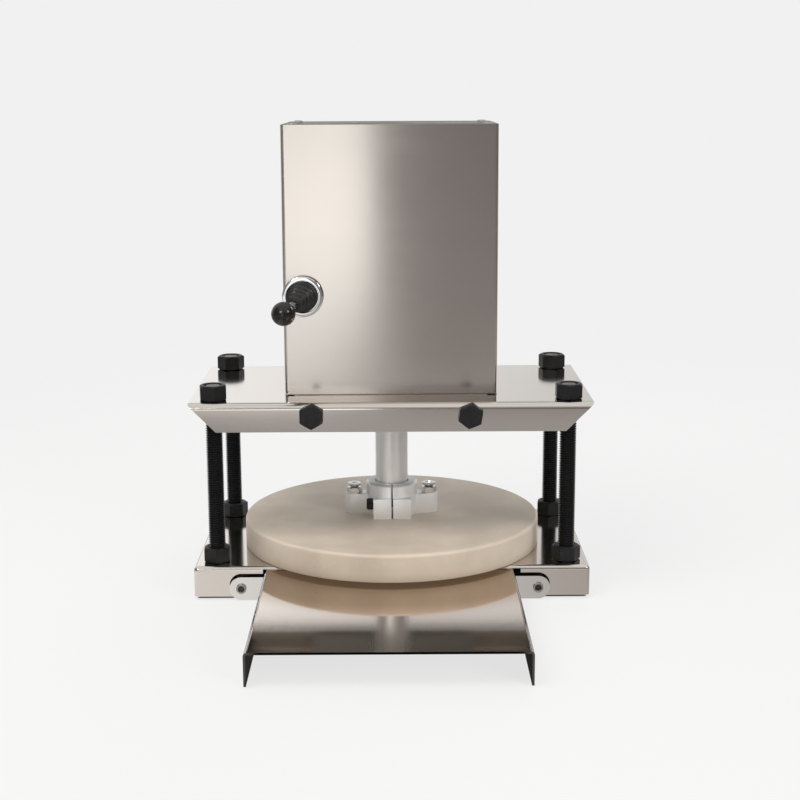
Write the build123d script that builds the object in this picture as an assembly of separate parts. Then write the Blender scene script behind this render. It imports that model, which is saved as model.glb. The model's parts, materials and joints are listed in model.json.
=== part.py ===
from build123d import *
import math
import os

# Electric pizza dough press, in millimetres, +Z up and the operator at -Y.
# The table is at z = 0. Every piece is drawn about the press axis, x = y = 0, and the whole is moved back
# at the end, so that the origin lies under the middle of the footprint.

# Fits
RUN_PLAY = 0.05  # radial play of a turning or sliding fit
SEAT_PLAY = 0.05  # radial play of a pushed-on seat
THREAD_PLAY = 0.1  # radial play of a plain rod in a plain nut
HOLE_PLAY = 0.5  # radial play of a bolt hole
SHEET_PLAY = 0.2  # gap at the edge of a fitted sheet
BODY_GAP = 0.3  # gap between pieces that move past each other
HOLE_SPARE = 1.0  # blind hole beyond the end of its screw
EDGE_BREAK = 1.0  # bevel on the ends of rods and feet

# Base pan and its feet
BASE_SIDE = 15.7  # posts to the ends of the base
FRONT_EDGE = 16.5  # front posts to the front skirts
REAR_EDGE = 14.0  # rear posts to the rear skirts
BASE_SHEET = 2.0
BASE_BEND = 3.0
BASE_SKIRT = 22.0
FOOT_STAND = 2.5  # foot below the skirt
FOOT_D = 18.0
FOOT_SIDE = 41.0  # foot to the end of the base
FOOT_INSET = 20.0  # foot to the front or rear skirt
STUD_D = 5.0
STUD_LENGTH = 8.0

# Front tray
TRAY_WIDTH = 178.0
TRAY_X = -1.5  # middle of the tray from the press axis
TRAY_REACH = 233.1  # press axis to the tray's front edge
TRAY_SHEET = 1.5
TRAY_BEND = 2.4
TRAY_LIFT = 0.5  # tray flange above the table
TONGUE_WIDTH = 168.0
TONGUE_LENGTH = 22.0  # tongue under the base sheet
EAR_REACH = 17.0  # screw in the ear, from the side of the tray
EAR_R = 8.4
EAR_SLOT = 2.2  # open slot over the ear
NOTCH_SIDE = 3.0  # notch beside the tray
EAR_SCREW_D = 5.0
EAR_HEAD_D = 7.2
EAR_HEAD_H = 1.8
EAR_SOCKET_D = 4.6
EAR_SOCKET_DEPTH = 1.6
EAR_NUT_AF = 8.0
EAR_NUT_H = 4.0

# Threaded posts and their nuts
ROD_D = 12.0
POST_SIDE = 15.8  # disc edge to the axis of the posts, across the press
ROD_SPAN_Y = 119.0
ROD_BACK = 4.0  # middle of the posts behind the press axis
ROD_TAIL = 4.0  # rod below its last nut
ROD_RECESS = 0.6  # rod end below the face of the top nut
NUT_AF = 18.0
NUT_H = 10.8
LOCK_NUT_H = 6.0
UPPER_NUT_TURNS = (40.0, 30.0, 12.0, -17.0)
LOWER_NUT_TURNS = (30.0, 0.0, 12.0, 20.0)
LOCK_NUT_TURNS = (10.0, 35.0, 0.0, 0.0)  # a flat of each rear one faces its skirt

# Top plate
TOP_SIDE = 16.2  # posts to the ends of the plate
TOP_SHEET = 2.5
TOP_BEND = 4.5
TOP_SKIRT = 20.3
TOP_TIP = 1.0  # square end of the plate above its slanted cut

# Crosshead under the plate, its bolts and the guide of the ram
CROSSHEAD_WIDTH = 128.0
CROSSHEAD_H = 15.0
BOLT_X = 55.6
BOLT_DROP = 8.3  # bolt axis below the plate surface
BOLT_D = 10.0
BOLT_AF = 16.0
BOLT_HEAD_H = 6.4
BOLT_DEPTH = 25.0
BOLT_TURNS = (30.0, 22.0)
BUSH_D = 32.0
BUSH_FLANGE_D = 38.0
BUSH_FLANGE_H = 3.0

# Ram, hub and disc
STROKE = 50.0
STROKE_SPARE = 2.9  # hub to the guide bush, at full stroke
SHAFT_D = 24.0
SHAFT_BORE = 16.0
SHAFT_INSIDE = 43.0  # ram above the plate surface, at rest
DISC_D = 220.0
DISC_T = 20.0
DISC_ROUND = 2.5
HUB_WIDTH = 69.0
HUB_WING_H = 15.0
HUB_WAIST = 23.4  # depth of the wings, run on to the axis
HUB_SHOULDER_X = 30.0
HUB_SHOULDER = 9.2  # depth of the wings at the shoulder
HUB_END = 4.0  # depth of the wings at their ends
HUB_COLLAR_D = 38.5
HUB_COLLAR_H = 25.0
HUB_COLLAR_BEVEL = 1.5
HUB_BORE_BEVEL = 1.2
HUB_BLOCK_WIDTH = 28.0
HUB_BLOCK_FRONT = 22.0
HUB_SLIT = 1.2
HUB_TURN = 1.0
HUB_SCREW_X = 28.0
HUB_SCREW_D = 6.0
HUB_SCREW_DEPTH = 12.0  # into the disc
HUB_HEAD_D = 10.6
HUB_HEAD_H = 3.2
HUB_HEAD_RIM = 0.8
HUB_NUT_AF = 10.0
HUB_NUT_H = 4.5
CLAMP_SCREW_D = 5.0
CLAMP_HEAD_D = 8.5
CLAMP_HEAD_H = 5.0
CLAMP_SOCKET_AF = 4.0
CLAMP_SOCKET_DEPTH = 2.5
CLAMP_SCREW_Y = -17.6
CLAMP_SCREW_RISE = 10.7  # above the disc
CLAMP_SCREW_LENGTH = 26.0

# Housing
HOUSING_WIDTH = 152.0
HOUSING_FRONT = 40.8  # press axis to the front panel
HOUSING_DEPTH = 111.0
HOUSING_H = 190.6
HOUSING_SHEET = 1.2
HOUSING_BEND = 2.5
HOUSING_FLANGE = 12.0
HOUSING_FRONT_FLANGE = 8.0
FOLD_BREAK = 0.6  # bevel along the foot of the front panel
RELIEF_LENGTH = 7.0
RELIEF_H = 1.0
TAB_LENGTH = 12.0
TAB_WIDTH = 14.0
TAB_INSET = 20.0  # middle of a tab from the end of its wall
COVER_SCREW_D = 4.0
COVER_HEAD_D = 6.6
COVER_HEAD_H = 2.0
COVER_SCREW_LENGTH = 6.0

# Linear actuator inside the housing
TUBE_D = 37.0
TUBE_BORE = 30.6
TUBE_FLANGE_D = 62.0
TUBE_FLANGE_H = 6.0
TUBE_SCREW_CIRCLE = 49.0
TUBE_SCREW_D = 5.0
TUBE_HEAD_D = 8.0
TUBE_HEAD_H = 5.0
TUBE_SCREW_LENGTH = 18.0
KEYWAY_WIDTH = 5.0
KEYWAY_DEPTH = 1.6
NUT_BODY_H = 20.0
NUT_SPIGOT = 10.0
SCREW_D = 12.0
SCREW_TAIL = 6.0  # lead screw below its nut, at rest
SCREW_COLLAR_D = 17.0
SCREW_COLLAR_H = 4.0
NUT_CLEAR = 1.5  # lead nut to the collar, at full stroke
BEARING_D = 32.0
BEARING_W = 10.0
BEARING_SHIELD = 0.8
INNER_RING_D = 18.4
OUTER_RING_BORE = 25.6
SWITCH_SIZE = (10.0, 6.5, 20.0)
SWITCH_BUTTON_D = 2.4
SWITCH_WINDOW = 8.0

# Gear train and motor
GEAR_MODULE = 1.5
GEAR_TEETH = 42
PINION_TEETH = 14
PRESSURE_ANGLE = 20.0
ADDENDUM = 0.8  # of the module
DEDENDUM = 1.1  # of the module
BACKLASH = 0.3
GEAR_FACE = 8.0
PINION_FACE = 9.0
GEAR_KEY = 4.0
CASE_FLOOR = 13.0
CASE_ROOM = 12.0
CASE_WALL = 2.5
CASE_GAP = 1.8  # gear to the wall of the case
CASE_LID = 4.0
CASE_SOCKET = 5.0  # socket round the top of the tube
CASE_LUG_R = 5.0
CASE_LUG_CIRCLE = 81.0
CASE_SCREW_D = 4.0
CASE_HEAD_D = 6.8
CASE_HEAD_H = 2.4
CASE_SCREW_X = 19.0
CASE_SCREW_BACK = 3.0  # rear case screws behind the motor axis
CASE_CLEAR = 1.0  # radial room where the case lets a turning piece through
CASE_SCREW_LENGTH = 14.0
PIVOT_END_D = 10.0  # top journal of the lead screw
MOTOR_D = 42.0
MOTOR_BEVEL = 1.5
MOTOR_LENGTH = 72.0
MOTOR_SHAFT_D = 5.0
MOTOR_SHAFT_SEAT = 20.0
MOTOR_BOSS_D = 12.0
MOTOR_BOSS_H = 3.0
MOTOR_SCREW_X = 9.0
MOTOR_SCREW_D = 3.0
MOTOR_HEAD_D = 5.5
MOTOR_HEAD_H = 3.0
MOTOR_SCREW_GRIP = 6.0
MOTOR_HEAD_SINK = 4.0  # seat of the head below the floor of the case

# Electrics inside the housing
SUPPLY_SIZE = (34.0, 80.0, 100.0)
SUPPLY_SHEET = 1.5
SUPPLY_Y = 20.0
SUPPLY_LIFT = 8.0  # above the plate
BOARD_SIZE = (1.6, 56.0, 80.0)
BOARD_Y = 36.0
BOARD_LIFT = 55.0  # middle of the board above the plate
STANDOFF_D = 5.0
STANDOFF_LENGTH = 8.0
STANDOFF_INSET = 5.0
RELAY_SIZE = (15.5, 15.0, 19.0)
RELAY_PITCH = 26.0

# Power inlet in the rear cover
INLET_SIDE = 43.0  # inlet axis to the left side of the housing
INLET_LIFT = 32.0  # above the plate
INLET_FLANGE = (48.0, 24.0)
INLET_FLANGE_T = 2.5
INLET_BODY = (27.0, 20.0)
INLET_DEPTH = 20.0
INLET_RECESS = (24.0, 16.4)
INLET_RECESS_DEPTH = 15.0
INLET_CORNER = 4.0
PIN_SIZE = (2.0, 4.0)
PIN_LENGTH = 13.0
PIN_ROOT = 3.0
PIN_SPREAD = 7.0
PIN_RISE = 2.0
INLET_SCREW_X = 20.0
INLET_SCREW_D = 3.0
INLET_HEAD_D = 5.4
INLET_HEAD_H = 1.8
INLET_SCREW_LENGTH = 6.0

# Joystick: its own axis runs forward from the front panel
JOYSTICK_SIDE = 14.1  # joystick axis to the left side of the housing
JOYSTICK_LIFT = 71.4  # above the plate
PIVOT_DEPTH = 0.8  # lever pivot behind the panel face
LEVER_TILT = 12.9  # lean of the lever at rest
LEAN_TURN = 207.0  # way it leans, round the joystick axis from +X
LEVER_LENGTH = 52.1  # pivot to ball centre
LEVER_ROOT_D = 7.2
LEVER_TIP_D = 5.6
LEVER_TAIL = 10.0
PIVOT_PIN_D = 3.0
BALL_D = 16.5
BALL_THREAD_D = 4.8
BALL_THREAD_LENGTH = 7.0
BEZEL_D = 29.0
BEZEL_H = 5.0
BEZEL_BEVEL = 1.2
BEZEL_OPENING = 23.8
BEZEL_SEAT = 2.6  # front of the stem inside the bezel
STEM_D = 20.0
STEM_BORE = 16.0
STEM_LENGTH = 32.0
CONTACT_D = 24.0
CONTACT_H = 14.0
LOCK_RING_D = 23.0
LOCK_RING_H = 4.0
LOCK_RING_NOTCH = 3.0
BOOT_RIBS = 5
BOOT_BASE_D = 22.0
BOOT_TIP_D = 12.0
BOOT_RIB_DEPTH = 1.5
BOOT_WALL = 1.2
BOOT_CREST_END = 0.45  # parts of one rib's height
BOOT_GROOVE_START = 0.6
BOOT_GROOVE_END = 0.9
BOOT_REACH = 31.0  # boot tip from the pivot, along the lever

# Heights and places that follow
PRESS_Y = (TRAY_REACH - DISC_D / 2) / 2
ROD_SPAN_X = DISC_D + 2 * POST_SIDE
BASE_WIDTH = ROD_SPAN_X + 2 * BASE_SIDE
TOP_WIDTH = ROD_SPAN_X + 2 * TOP_SIDE
BASE_FRONT = ROD_SPAN_Y / 2 - ROD_BACK + FRONT_EDGE
BASE_REAR = ROD_SPAN_Y / 2 + ROD_BACK + REAR_EDGE
BASE_TOP = FOOT_STAND + BASE_SKIRT
BASE_UNDER = BASE_TOP - BASE_SHEET
DISC_TOP = BASE_TOP + BODY_GAP + DISC_T
BUSH_FOOT = DISC_TOP + HUB_COLLAR_H + STROKE + STROKE_SPARE
PLATE_UNDER = BUSH_FOOT + BUSH_FLANGE_H + CROSSHEAD_H
PLATE_TOP = PLATE_UNDER + TOP_SHEET
SHAFT_TOP = PLATE_TOP + SHAFT_INSIDE
SCREW_FOOT = SHAFT_TOP - NUT_SPIGOT - SCREW_TAIL
COLLAR_FOOT = SHAFT_TOP + NUT_BODY_H + STROKE + NUT_CLEAR
TUBE_TOP = COLLAR_FOOT + SCREW_COLLAR_H
GEAR_FOOT = TUBE_TOP + CASE_FLOOR + BODY_GAP
CASE_TOP = TUBE_TOP + CASE_FLOOR + CASE_ROOM
MOTOR_Y = GEAR_MODULE * (GEAR_TEETH + PINION_TEETH) / 2
HOUSING_TOP = PLATE_TOP + HOUSING_H
HOUSING_REAR = HOUSING_DEPTH - HOUSING_FRONT
HOUSING_INNER_X = HOUSING_WIDTH / 2 - HOUSING_SHEET
EAR_X = TRAY_WIDTH / 2 + EAR_REACH
EAR_Z = TRAY_LIFT + EAR_R
TRAY_DEPTH = TRAY_REACH - BASE_FRONT
CORNERS = ((-1, -1), (1, -1), (-1, 1), (1, 1))
FOOT_X = BASE_WIDTH / 2 - FOOT_SIDE
FOOT_ROWS = {-1: FOOT_INSET - BASE_FRONT, 1: BASE_REAR - FOOT_INSET}
FOOT_SPOTS = [(sx * FOOT_X, FOOT_ROWS[sy]) for sx, sy in CORNERS]
ROD_SPOTS = [(sx * ROD_SPAN_X / 2, ROD_BACK + sy * ROD_SPAN_Y / 2) for sx, sy in CORNERS]
TUBE_SCREW_SPOTS = PolarLocations(TUBE_SCREW_CIRCLE / 2, 4, 45)

STANDING = (Align.CENTER, Align.CENTER, Align.MIN)
HANGING = (Align.CENTER, Align.CENTER, Align.MAX)
TO_FRONT = Rot(90, 0, 0)
TO_REAR = Rot(-90, 0, 0)
TO_RIGHT = Rot(0, 90, 0)
JOYSTICK_X = JOYSTICK_SIDE - HOUSING_WIDTH / 2
JOYSTICK = Pos(JOYSTICK_X, -HOUSING_FRONT, PLATE_TOP + JOYSTICK_LIFT) * TO_FRONT * Rot(0, 0, LEAN_TURN)
PIVOT = Pos(0, 0, -PIVOT_DEPTH)


# Shared shapes

def post(diameter, length):
    """A round bar standing on z = 0."""
    return Cylinder(diameter / 2, length, align=STANDING)


def sleeve(outer, inner, length):
    """A tube standing on z = 0."""
    return post(outer, length) - post(inner, length)


def hexagon(across_flats, height):
    """A hexagonal bar standing on z = 0."""
    return extrude(RegularPolygon(across_flats / 2, 6, major_radius=False), height)


def hex_nut(across_flats, height, thread):
    """A hex nut whose plain bore clears its thread."""
    return hexagon(across_flats, height) - post(thread + 2 * THREAD_PLAY, height)


def headed_pin(head_d, head_h, shank_d, length):
    """A screw with its head above z = 0 and its shank below."""
    return post(head_d, head_h) + Pos(0, 0, -length) * post(shank_d, length)


def group(shapes):
    """Separate solids that share one node."""
    return Compound([solid for shape in shapes for solid in shape.solids()])


def block(low, high):
    """A box between two corners."""
    size = [b - a for a, b in zip(low, high)]
    return Pos(*low) * Box(*size, align=(Align.MIN, Align.MIN, Align.MIN))


def folded_section(across, depth, bend):
    """The outline of a folded channel, top edge on y = 0, rounded at its two bends."""
    outline = Rectangle(across, depth, align=(Align.CENTER, Align.MAX))
    return fillet(outline.vertices().group_by(Axis.Y)[-1], bend)


def channel(length, across, depth, sheet, bend):
    """A folded channel along X, its flat top on z = 0 and its flanges hanging."""
    inside = Pos(0, -sheet) * folded_section(across - 2 * sheet, depth - sheet, bend - sheet)
    section = folded_section(across, depth, bend) - inside
    return extrude(Plane.YZ * section, length / 2, both=True)


# Base

def rounded_box(width, depth, height, bend):
    """A box standing on z = 0, rounded at its upright edges and round its top."""
    box = Box(width, depth, height, align=STANDING)
    return fillet(box.edges().filter_by(Axis.Z) + box.faces().sort_by(Axis.Z)[-1].edges(), bend)


def base_plate():
    depth = BASE_FRONT + BASE_REAR
    middle = Pos(0, (BASE_REAR - BASE_FRONT) / 2, FOOT_STAND)
    outer = rounded_box(BASE_WIDTH, depth, BASE_SKIRT, BASE_BEND)
    inset = 2 * BASE_SHEET
    inner = rounded_box(BASE_WIDTH - inset, depth - inset, BASE_SKIRT - BASE_SHEET, BASE_BEND - BASE_SHEET)
    pan = middle * (outer - inner)
    for x, y in FOOT_SPOTS:
        pan += Pos(x, y, BASE_UNDER - STUD_LENGTH) * post(STUD_D, STUD_LENGTH)
    for x, y in ROD_SPOTS:
        pan -= Pos(x, y, BASE_UNDER) * post(ROD_D + 2 * HOLE_PLAY, BASE_SHEET)
    gap = TRAY_WIDTH / 2 + NOTCH_SIDE
    skirt_y = -BASE_FRONT + BASE_BEND
    pan -= block((-gap, -BASE_FRONT, FOOT_STAND), (gap, skirt_y, BASE_UNDER))
    for side in (-1, 1):
        slot = Pos(0, 0, EAR_SLOT) * ear(side, BASE_SHEET) - ear(side, BASE_SHEET)
        pan -= Pos(TRAY_X, -BASE_FRONT + BASE_SHEET, 0) * slot
        hole = post(EAR_SCREW_D + 2 * HOLE_PLAY, BASE_SHEET)
        pan -= Pos(TRAY_X + side * EAR_X, -BASE_FRONT, EAR_Z) * TO_REAR * hole
    return pan


def rubber_feet():
    foot = post(FOOT_D, BASE_UNDER)
    foot = chamfer(foot.edges().sort_by(Axis.Z)[0], EDGE_BREAK)
    depth = STUD_LENGTH + HOLE_SPARE
    foot -= Pos(0, 0, BASE_UNDER - depth) * post(STUD_D + 2 * SEAT_PLAY, depth)
    return group(Pos(x, y, 0) * foot for x, y in FOOT_SPOTS)


# Front tray

def ear(side, sheet):
    """One ear plate with its front face on y = -sheet and its back on y = 0."""
    inner = TRAY_WIDTH / 2 - TRAY_SHEET
    strap = Pos(side * (inner + EAR_X) / 2, EAR_Z) * Rectangle(EAR_X - inner, 2 * EAR_R)
    outline = strap + Pos(side * EAR_X, EAR_Z) * Circle(EAR_R)
    return extrude(Plane.XZ * outline, sheet)


def front_tray():
    sheet_y = -BASE_FRONT - TRAY_DEPTH / 2
    flanges = channel(TRAY_DEPTH, TRAY_WIDTH, BASE_UNDER - TRAY_LIFT, TRAY_SHEET, TRAY_BEND)
    tray = Pos(0, sheet_y, BASE_UNDER) * Rot(0, 0, 90) * flanges
    tongue_x = TONGUE_WIDTH / 2
    tongue_y = -BASE_FRONT + TONGUE_LENGTH
    tray += block((-tongue_x, -BASE_FRONT, BASE_UNDER - TRAY_SHEET), (tongue_x, tongue_y, BASE_UNDER))
    for side in (-1, 1):
        tray += Pos(0, -BASE_FRONT, 0) * ear(side, TRAY_SHEET)
    for side in (-1, 1):
        hole = post(EAR_SCREW_D + 2 * HOLE_PLAY, TRAY_SHEET)
        tray -= Pos(side * EAR_X, -BASE_FRONT - TRAY_SHEET, EAR_Z) * TO_REAR * hole
    return Pos(TRAY_X, 0, 0) * tray


def tray_screws():
    grip = TRAY_SHEET + BASE_SHEET + EAR_NUT_H
    screw = headed_pin(EAR_HEAD_D, EAR_HEAD_H, EAR_SCREW_D, grip)
    screw -= Pos(0, 0, EAR_HEAD_H - EAR_SOCKET_DEPTH) * post(EAR_SOCKET_D, EAR_SOCKET_DEPTH)
    seat = -BASE_FRONT - TRAY_SHEET
    return group(Pos(TRAY_X + side * EAR_X, seat, EAR_Z) * TO_FRONT * screw for side in (-1, 1))


def tray_nuts():
    nut = hex_nut(EAR_NUT_AF, EAR_NUT_H, EAR_SCREW_D)
    seat = -BASE_FRONT + BASE_SHEET
    return group(Pos(TRAY_X + side * EAR_X, seat, EAR_Z) * TO_REAR * nut for side in (-1, 1))


# Posts and nuts

def threaded_rod(spot):
    foot = BASE_UNDER - LOCK_NUT_H - ROD_TAIL
    head = PLATE_TOP + NUT_H - ROD_RECESS
    rod = post(ROD_D, head - foot)
    rod = chamfer(rod.edges().filter_by(GeomType.CIRCLE), EDGE_BREAK)
    return Pos(*spot, foot) * rod


def nuts(level, height, turns):
    """The four nuts at one height, each turned as its spanner left it."""
    nut = hex_nut(NUT_AF, height, ROD_D)
    return group(Pos(x, y, level) * Rot(0, 0, turn) * nut for (x, y), turn in zip(ROD_SPOTS, turns))


# Top plate and crosshead

def top_plate():
    depth = BASE_FRONT + BASE_REAR
    middle_y = (BASE_REAR - BASE_FRONT) / 2
    plate = Pos(0, middle_y, PLATE_TOP) * channel(TOP_WIDTH, depth, TOP_SKIRT, TOP_SHEET, TOP_BEND)
    slant = TOP_SKIRT - TOP_TIP
    for side in (-1, 1):
        end = side * TOP_WIDTH / 2
        foot = PLATE_TOP - TOP_SKIRT
        corner = Polygon((end, foot), (end, foot + slant), (end - side * slant, foot), align=None)
        plate -= Pos(0, middle_y, 0) * extrude(Plane.XZ * corner, depth / 2, both=True)
    for x, y in ROD_SPOTS:
        plate -= Pos(x, y, PLATE_UNDER) * post(ROD_D + 2 * HOLE_PLAY, TOP_SHEET)
    plate -= Pos(0, 0, PLATE_UNDER) * post(BUSH_D + 2 * SEAT_PLAY, TOP_SHEET)
    for spot in TUBE_SCREW_SPOTS:
        plate -= Pos(0, 0, PLATE_UNDER) * spot * post(TUBE_SCREW_D + 2 * HOLE_PLAY, TOP_SHEET)
    for x, y in flange_screw_spots():
        plate -= Pos(x, y, PLATE_UNDER) * post(COVER_SCREW_D + 2 * THREAD_PLAY, TOP_SHEET)
    for place in bolt_places():
        plate -= place * Pos(0, 0, -TOP_BEND) * post(BOLT_D + 2 * HOLE_PLAY, TOP_BEND)
    return plate


def bolt_places():
    """Where the bolt heads seat on the skirts, +Z pointing out: two in front, two behind."""
    level = PLATE_TOP - BOLT_DROP
    front = [Pos(x, -BASE_FRONT, level) * TO_FRONT for x in (-BOLT_X, BOLT_X)]
    rear = [Pos(x, BASE_REAR, level) * TO_REAR for x in (-BOLT_X, BOLT_X)]
    return front + rear


def crosshead_block():
    half = CROSSHEAD_WIDTH / 2
    front = -BASE_FRONT + TOP_SHEET + SEAT_PLAY
    rear = BASE_REAR - TOP_SHEET - SEAT_PLAY
    bar = block((-half, front, PLATE_UNDER - CROSSHEAD_H), (half, rear, PLATE_UNDER))
    bar = chamfer(bar.edges().filter_by(Axis.X).group_by(Axis.Z)[-1], TOP_BEND - TOP_SHEET)
    bar -= Pos(0, 0, PLATE_UNDER - CROSSHEAD_H) * post(BUSH_D + 2 * SEAT_PLAY, CROSSHEAD_H)
    for place in bolt_places():
        bar -= place * Pos(0, 0, -BOLT_DEPTH) * post(BOLT_D + 2 * THREAD_PLAY, BOLT_DEPTH)
    for spot in TUBE_SCREW_SPOTS:
        bar -= Pos(0, 0, PLATE_UNDER - CROSSHEAD_H) * spot * post(TUBE_SCREW_D + 2 * THREAD_PLAY, CROSSHEAD_H)
    return bar


def crosshead_bolts():
    length = BOLT_DEPTH - HOLE_SPARE
    thread = Pos(0, 0, -length) * post(BOLT_D, length)
    bolts = [Rot(0, 0, turn) * hexagon(BOLT_AF, BOLT_HEAD_H) + thread for turn in BOLT_TURNS * 2]
    return group(place * bolt for place, bolt in zip(bolt_places(), bolts))


def guide_bush():
    height = PLATE_TOP - BUSH_FOOT
    bush = post(BUSH_FLANGE_D, BUSH_FLANGE_H) + post(BUSH_D, height)
    bush -= post(SHAFT_D + 2 * RUN_PLAY, height)
    return Pos(0, 0, BUSH_FOOT) * bush


# Ram, hub and disc

def press_disc():
    disc = post(DISC_D, DISC_T)
    disc = fillet(disc.edges().filter_by(GeomType.CIRCLE), DISC_ROUND)
    for side in (-1, 1):
        hole = post(HUB_SCREW_D + 2 * THREAD_PLAY, HUB_SCREW_DEPTH + HOLE_SPARE)
        foot = DISC_T - HUB_SCREW_DEPTH - HOLE_SPARE
        disc -= Rot(0, 0, HUB_TURN) * Pos(side * HUB_SCREW_X, 0, foot) * hole
    return Pos(0, 0, DISC_TOP - DISC_T) * disc


def press_shaft():
    shaft = post(SHAFT_D, SHAFT_TOP - DISC_TOP)
    bore_depth = SHAFT_TOP - SCREW_FOOT + STROKE + SCREW_TAIL
    shaft -= Pos(0, 0, SHAFT_TOP - DISC_TOP - bore_depth) * post(SHAFT_BORE, bore_depth)
    return Pos(0, 0, DISC_TOP) * shaft


HUB = Pos(0, 0, DISC_TOP) * Rot(0, 0, HUB_TURN)


def hub_clamp():
    quarter = [(0, HUB_WAIST / 2), (HUB_SHOULDER_X, HUB_SHOULDER / 2), (HUB_WIDTH / 2, HUB_END / 2)]
    front = [(x, -y) for x, y in quarter]
    right = front + quarter[::-1]
    left = [(-x, y) for x, y in right[::-1] if x]
    hub = extrude(Polygon(*right, *left, align=None), HUB_WING_H)
    half = HUB_BLOCK_WIDTH / 2
    hub += block((-half, -HUB_BLOCK_FRONT, 0), (half, 0, HUB_WING_H))
    collar = post(HUB_COLLAR_D, HUB_COLLAR_H)
    hub += chamfer(collar.edges().sort_by(Axis.Z)[-1], HUB_COLLAR_BEVEL)
    hub -= post(SHAFT_D + 2 * SEAT_PLAY, HUB_COLLAR_H)
    bore_r = SHAFT_D / 2 + SEAT_PLAY
    countersink = Cone(bore_r, bore_r + HUB_BORE_BEVEL, HUB_BORE_BEVEL, align=HANGING)
    hub -= Pos(0, 0, HUB_COLLAR_H) * countersink
    hub -= block((-HUB_SLIT / 2, -HUB_BLOCK_FRONT, 0), (HUB_SLIT / 2, 0, HUB_COLLAR_H))
    for side in (-1, 1):
        hub -= Pos(side * HUB_SCREW_X, 0, 0) * post(HUB_SCREW_D + 2 * THREAD_PLAY, HUB_WING_H)
    hole = TO_RIGHT * post(CLAMP_SCREW_D + 2 * THREAD_PLAY, HUB_BLOCK_WIDTH)
    hub -= Pos(-half, CLAMP_SCREW_Y, CLAMP_SCREW_RISE) * hole
    return HUB * hub


def clamp_screw():
    screw = headed_pin(CLAMP_HEAD_D, CLAMP_HEAD_H, CLAMP_SCREW_D, CLAMP_SCREW_LENGTH)
    screw -= Pos(0, 0, CLAMP_HEAD_H - CLAMP_SOCKET_DEPTH) * hexagon(CLAMP_SOCKET_AF, CLAMP_SOCKET_DEPTH)
    return HUB * Pos(-HUB_BLOCK_WIDTH / 2, CLAMP_SCREW_Y, CLAMP_SCREW_RISE) * Rot(0, -90, 0) * screw


def hub_screws():
    head = HUB_WING_H + HUB_NUT_H
    outline = Polyline(
        (0, -HUB_SCREW_DEPTH),
        (HUB_SCREW_D / 2, -HUB_SCREW_DEPTH),
        (HUB_SCREW_D / 2, head),
        (HUB_HEAD_D / 2, head + HUB_HEAD_H - HUB_HEAD_RIM),
        (HUB_HEAD_D / 2, head + HUB_HEAD_H),
        (0, head + HUB_HEAD_H),
        close=True,
    )
    screw = revolve(Plane.XZ * make_face(outline), Axis.Z)
    return group(HUB * Pos(side * HUB_SCREW_X, 0, 0) * screw for side in (-1, 1))


def hub_nuts():
    nut = hex_nut(HUB_NUT_AF, HUB_NUT_H, HUB_SCREW_D)
    return group(HUB * Pos(side * HUB_SCREW_X, 0, HUB_WING_H) * nut for side in (-1, 1))


# Linear actuator

def actuator_tube():
    height = TUBE_TOP - PLATE_TOP
    tube = post(TUBE_D, height) + post(TUBE_FLANGE_D, TUBE_FLANGE_H)
    tube -= post(TUBE_BORE, height)
    reach = TUBE_BORE / 2 + KEYWAY_DEPTH
    tube -= Box(2 * reach, KEYWAY_WIDTH, height, align=STANDING)
    for spot in TUBE_SCREW_SPOTS:
        tube -= spot * post(TUBE_SCREW_D + 2 * HOLE_PLAY, TUBE_FLANGE_H)
    for level in switch_levels():
        tube -= Pos(TUBE_D / 2, 0, level - PLATE_TOP) * Box(TUBE_D / 2, KEYWAY_WIDTH, SWITCH_WINDOW)
    return Pos(0, 0, PLATE_TOP) * tube


def switch_levels():
    """Heights at which the lead nut's lug meets a limit switch: ram down and ram up."""
    middle = SHAFT_TOP + NUT_BODY_H / 2
    return (middle, middle + STROKE)


def tube_screws():
    screw = headed_pin(TUBE_HEAD_D, TUBE_HEAD_H, TUBE_SCREW_D, TUBE_SCREW_LENGTH)
    return group(Pos(0, 0, PLATE_TOP + TUBE_FLANGE_H) * spot * screw for spot in TUBE_SCREW_SPOTS)


def lead_nut():
    body = Pos(0, 0, SHAFT_TOP) * post(TUBE_BORE - 2 * BODY_GAP, NUT_BODY_H)
    body += Pos(0, 0, SHAFT_TOP - NUT_SPIGOT) * post(SHAFT_BORE - 2 * SEAT_PLAY, NUT_SPIGOT)
    span = TUBE_BORE + 2 * (KEYWAY_DEPTH - BODY_GAP)
    body += Pos(0, 0, SHAFT_TOP) * Box(span, KEYWAY_WIDTH - 2 * BODY_GAP, NUT_BODY_H, align=STANDING)
    bore = NUT_SPIGOT + NUT_BODY_H
    return body - Pos(0, 0, SHAFT_TOP - NUT_SPIGOT) * post(SCREW_D + 2 * RUN_PLAY, bore)


def lead_screw():
    gear_top = GEAR_FOOT + GEAR_FACE
    screw = Pos(0, 0, SCREW_FOOT) * post(SCREW_D, gear_top - SCREW_FOOT)
    screw += Pos(0, 0, COLLAR_FOOT) * post(SCREW_COLLAR_D, SCREW_COLLAR_H)
    screw += Pos(0, 0, gear_top) * post(PIVOT_END_D, CASE_TOP + CASE_LID - gear_top)
    return screw - key_slot()


def key_slot():
    """Half of the key lies in the screw and half in the gear."""
    return Pos(SCREW_D / 2, 0, GEAR_FOOT) * Box(GEAR_KEY, GEAR_KEY, GEAR_FACE, align=STANDING)


def gear_key():
    slim = GEAR_KEY - 2 * SEAT_PLAY
    return Pos(SCREW_D / 2, 0, GEAR_FOOT) * Box(slim, slim, GEAR_FACE, align=STANDING)


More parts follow.
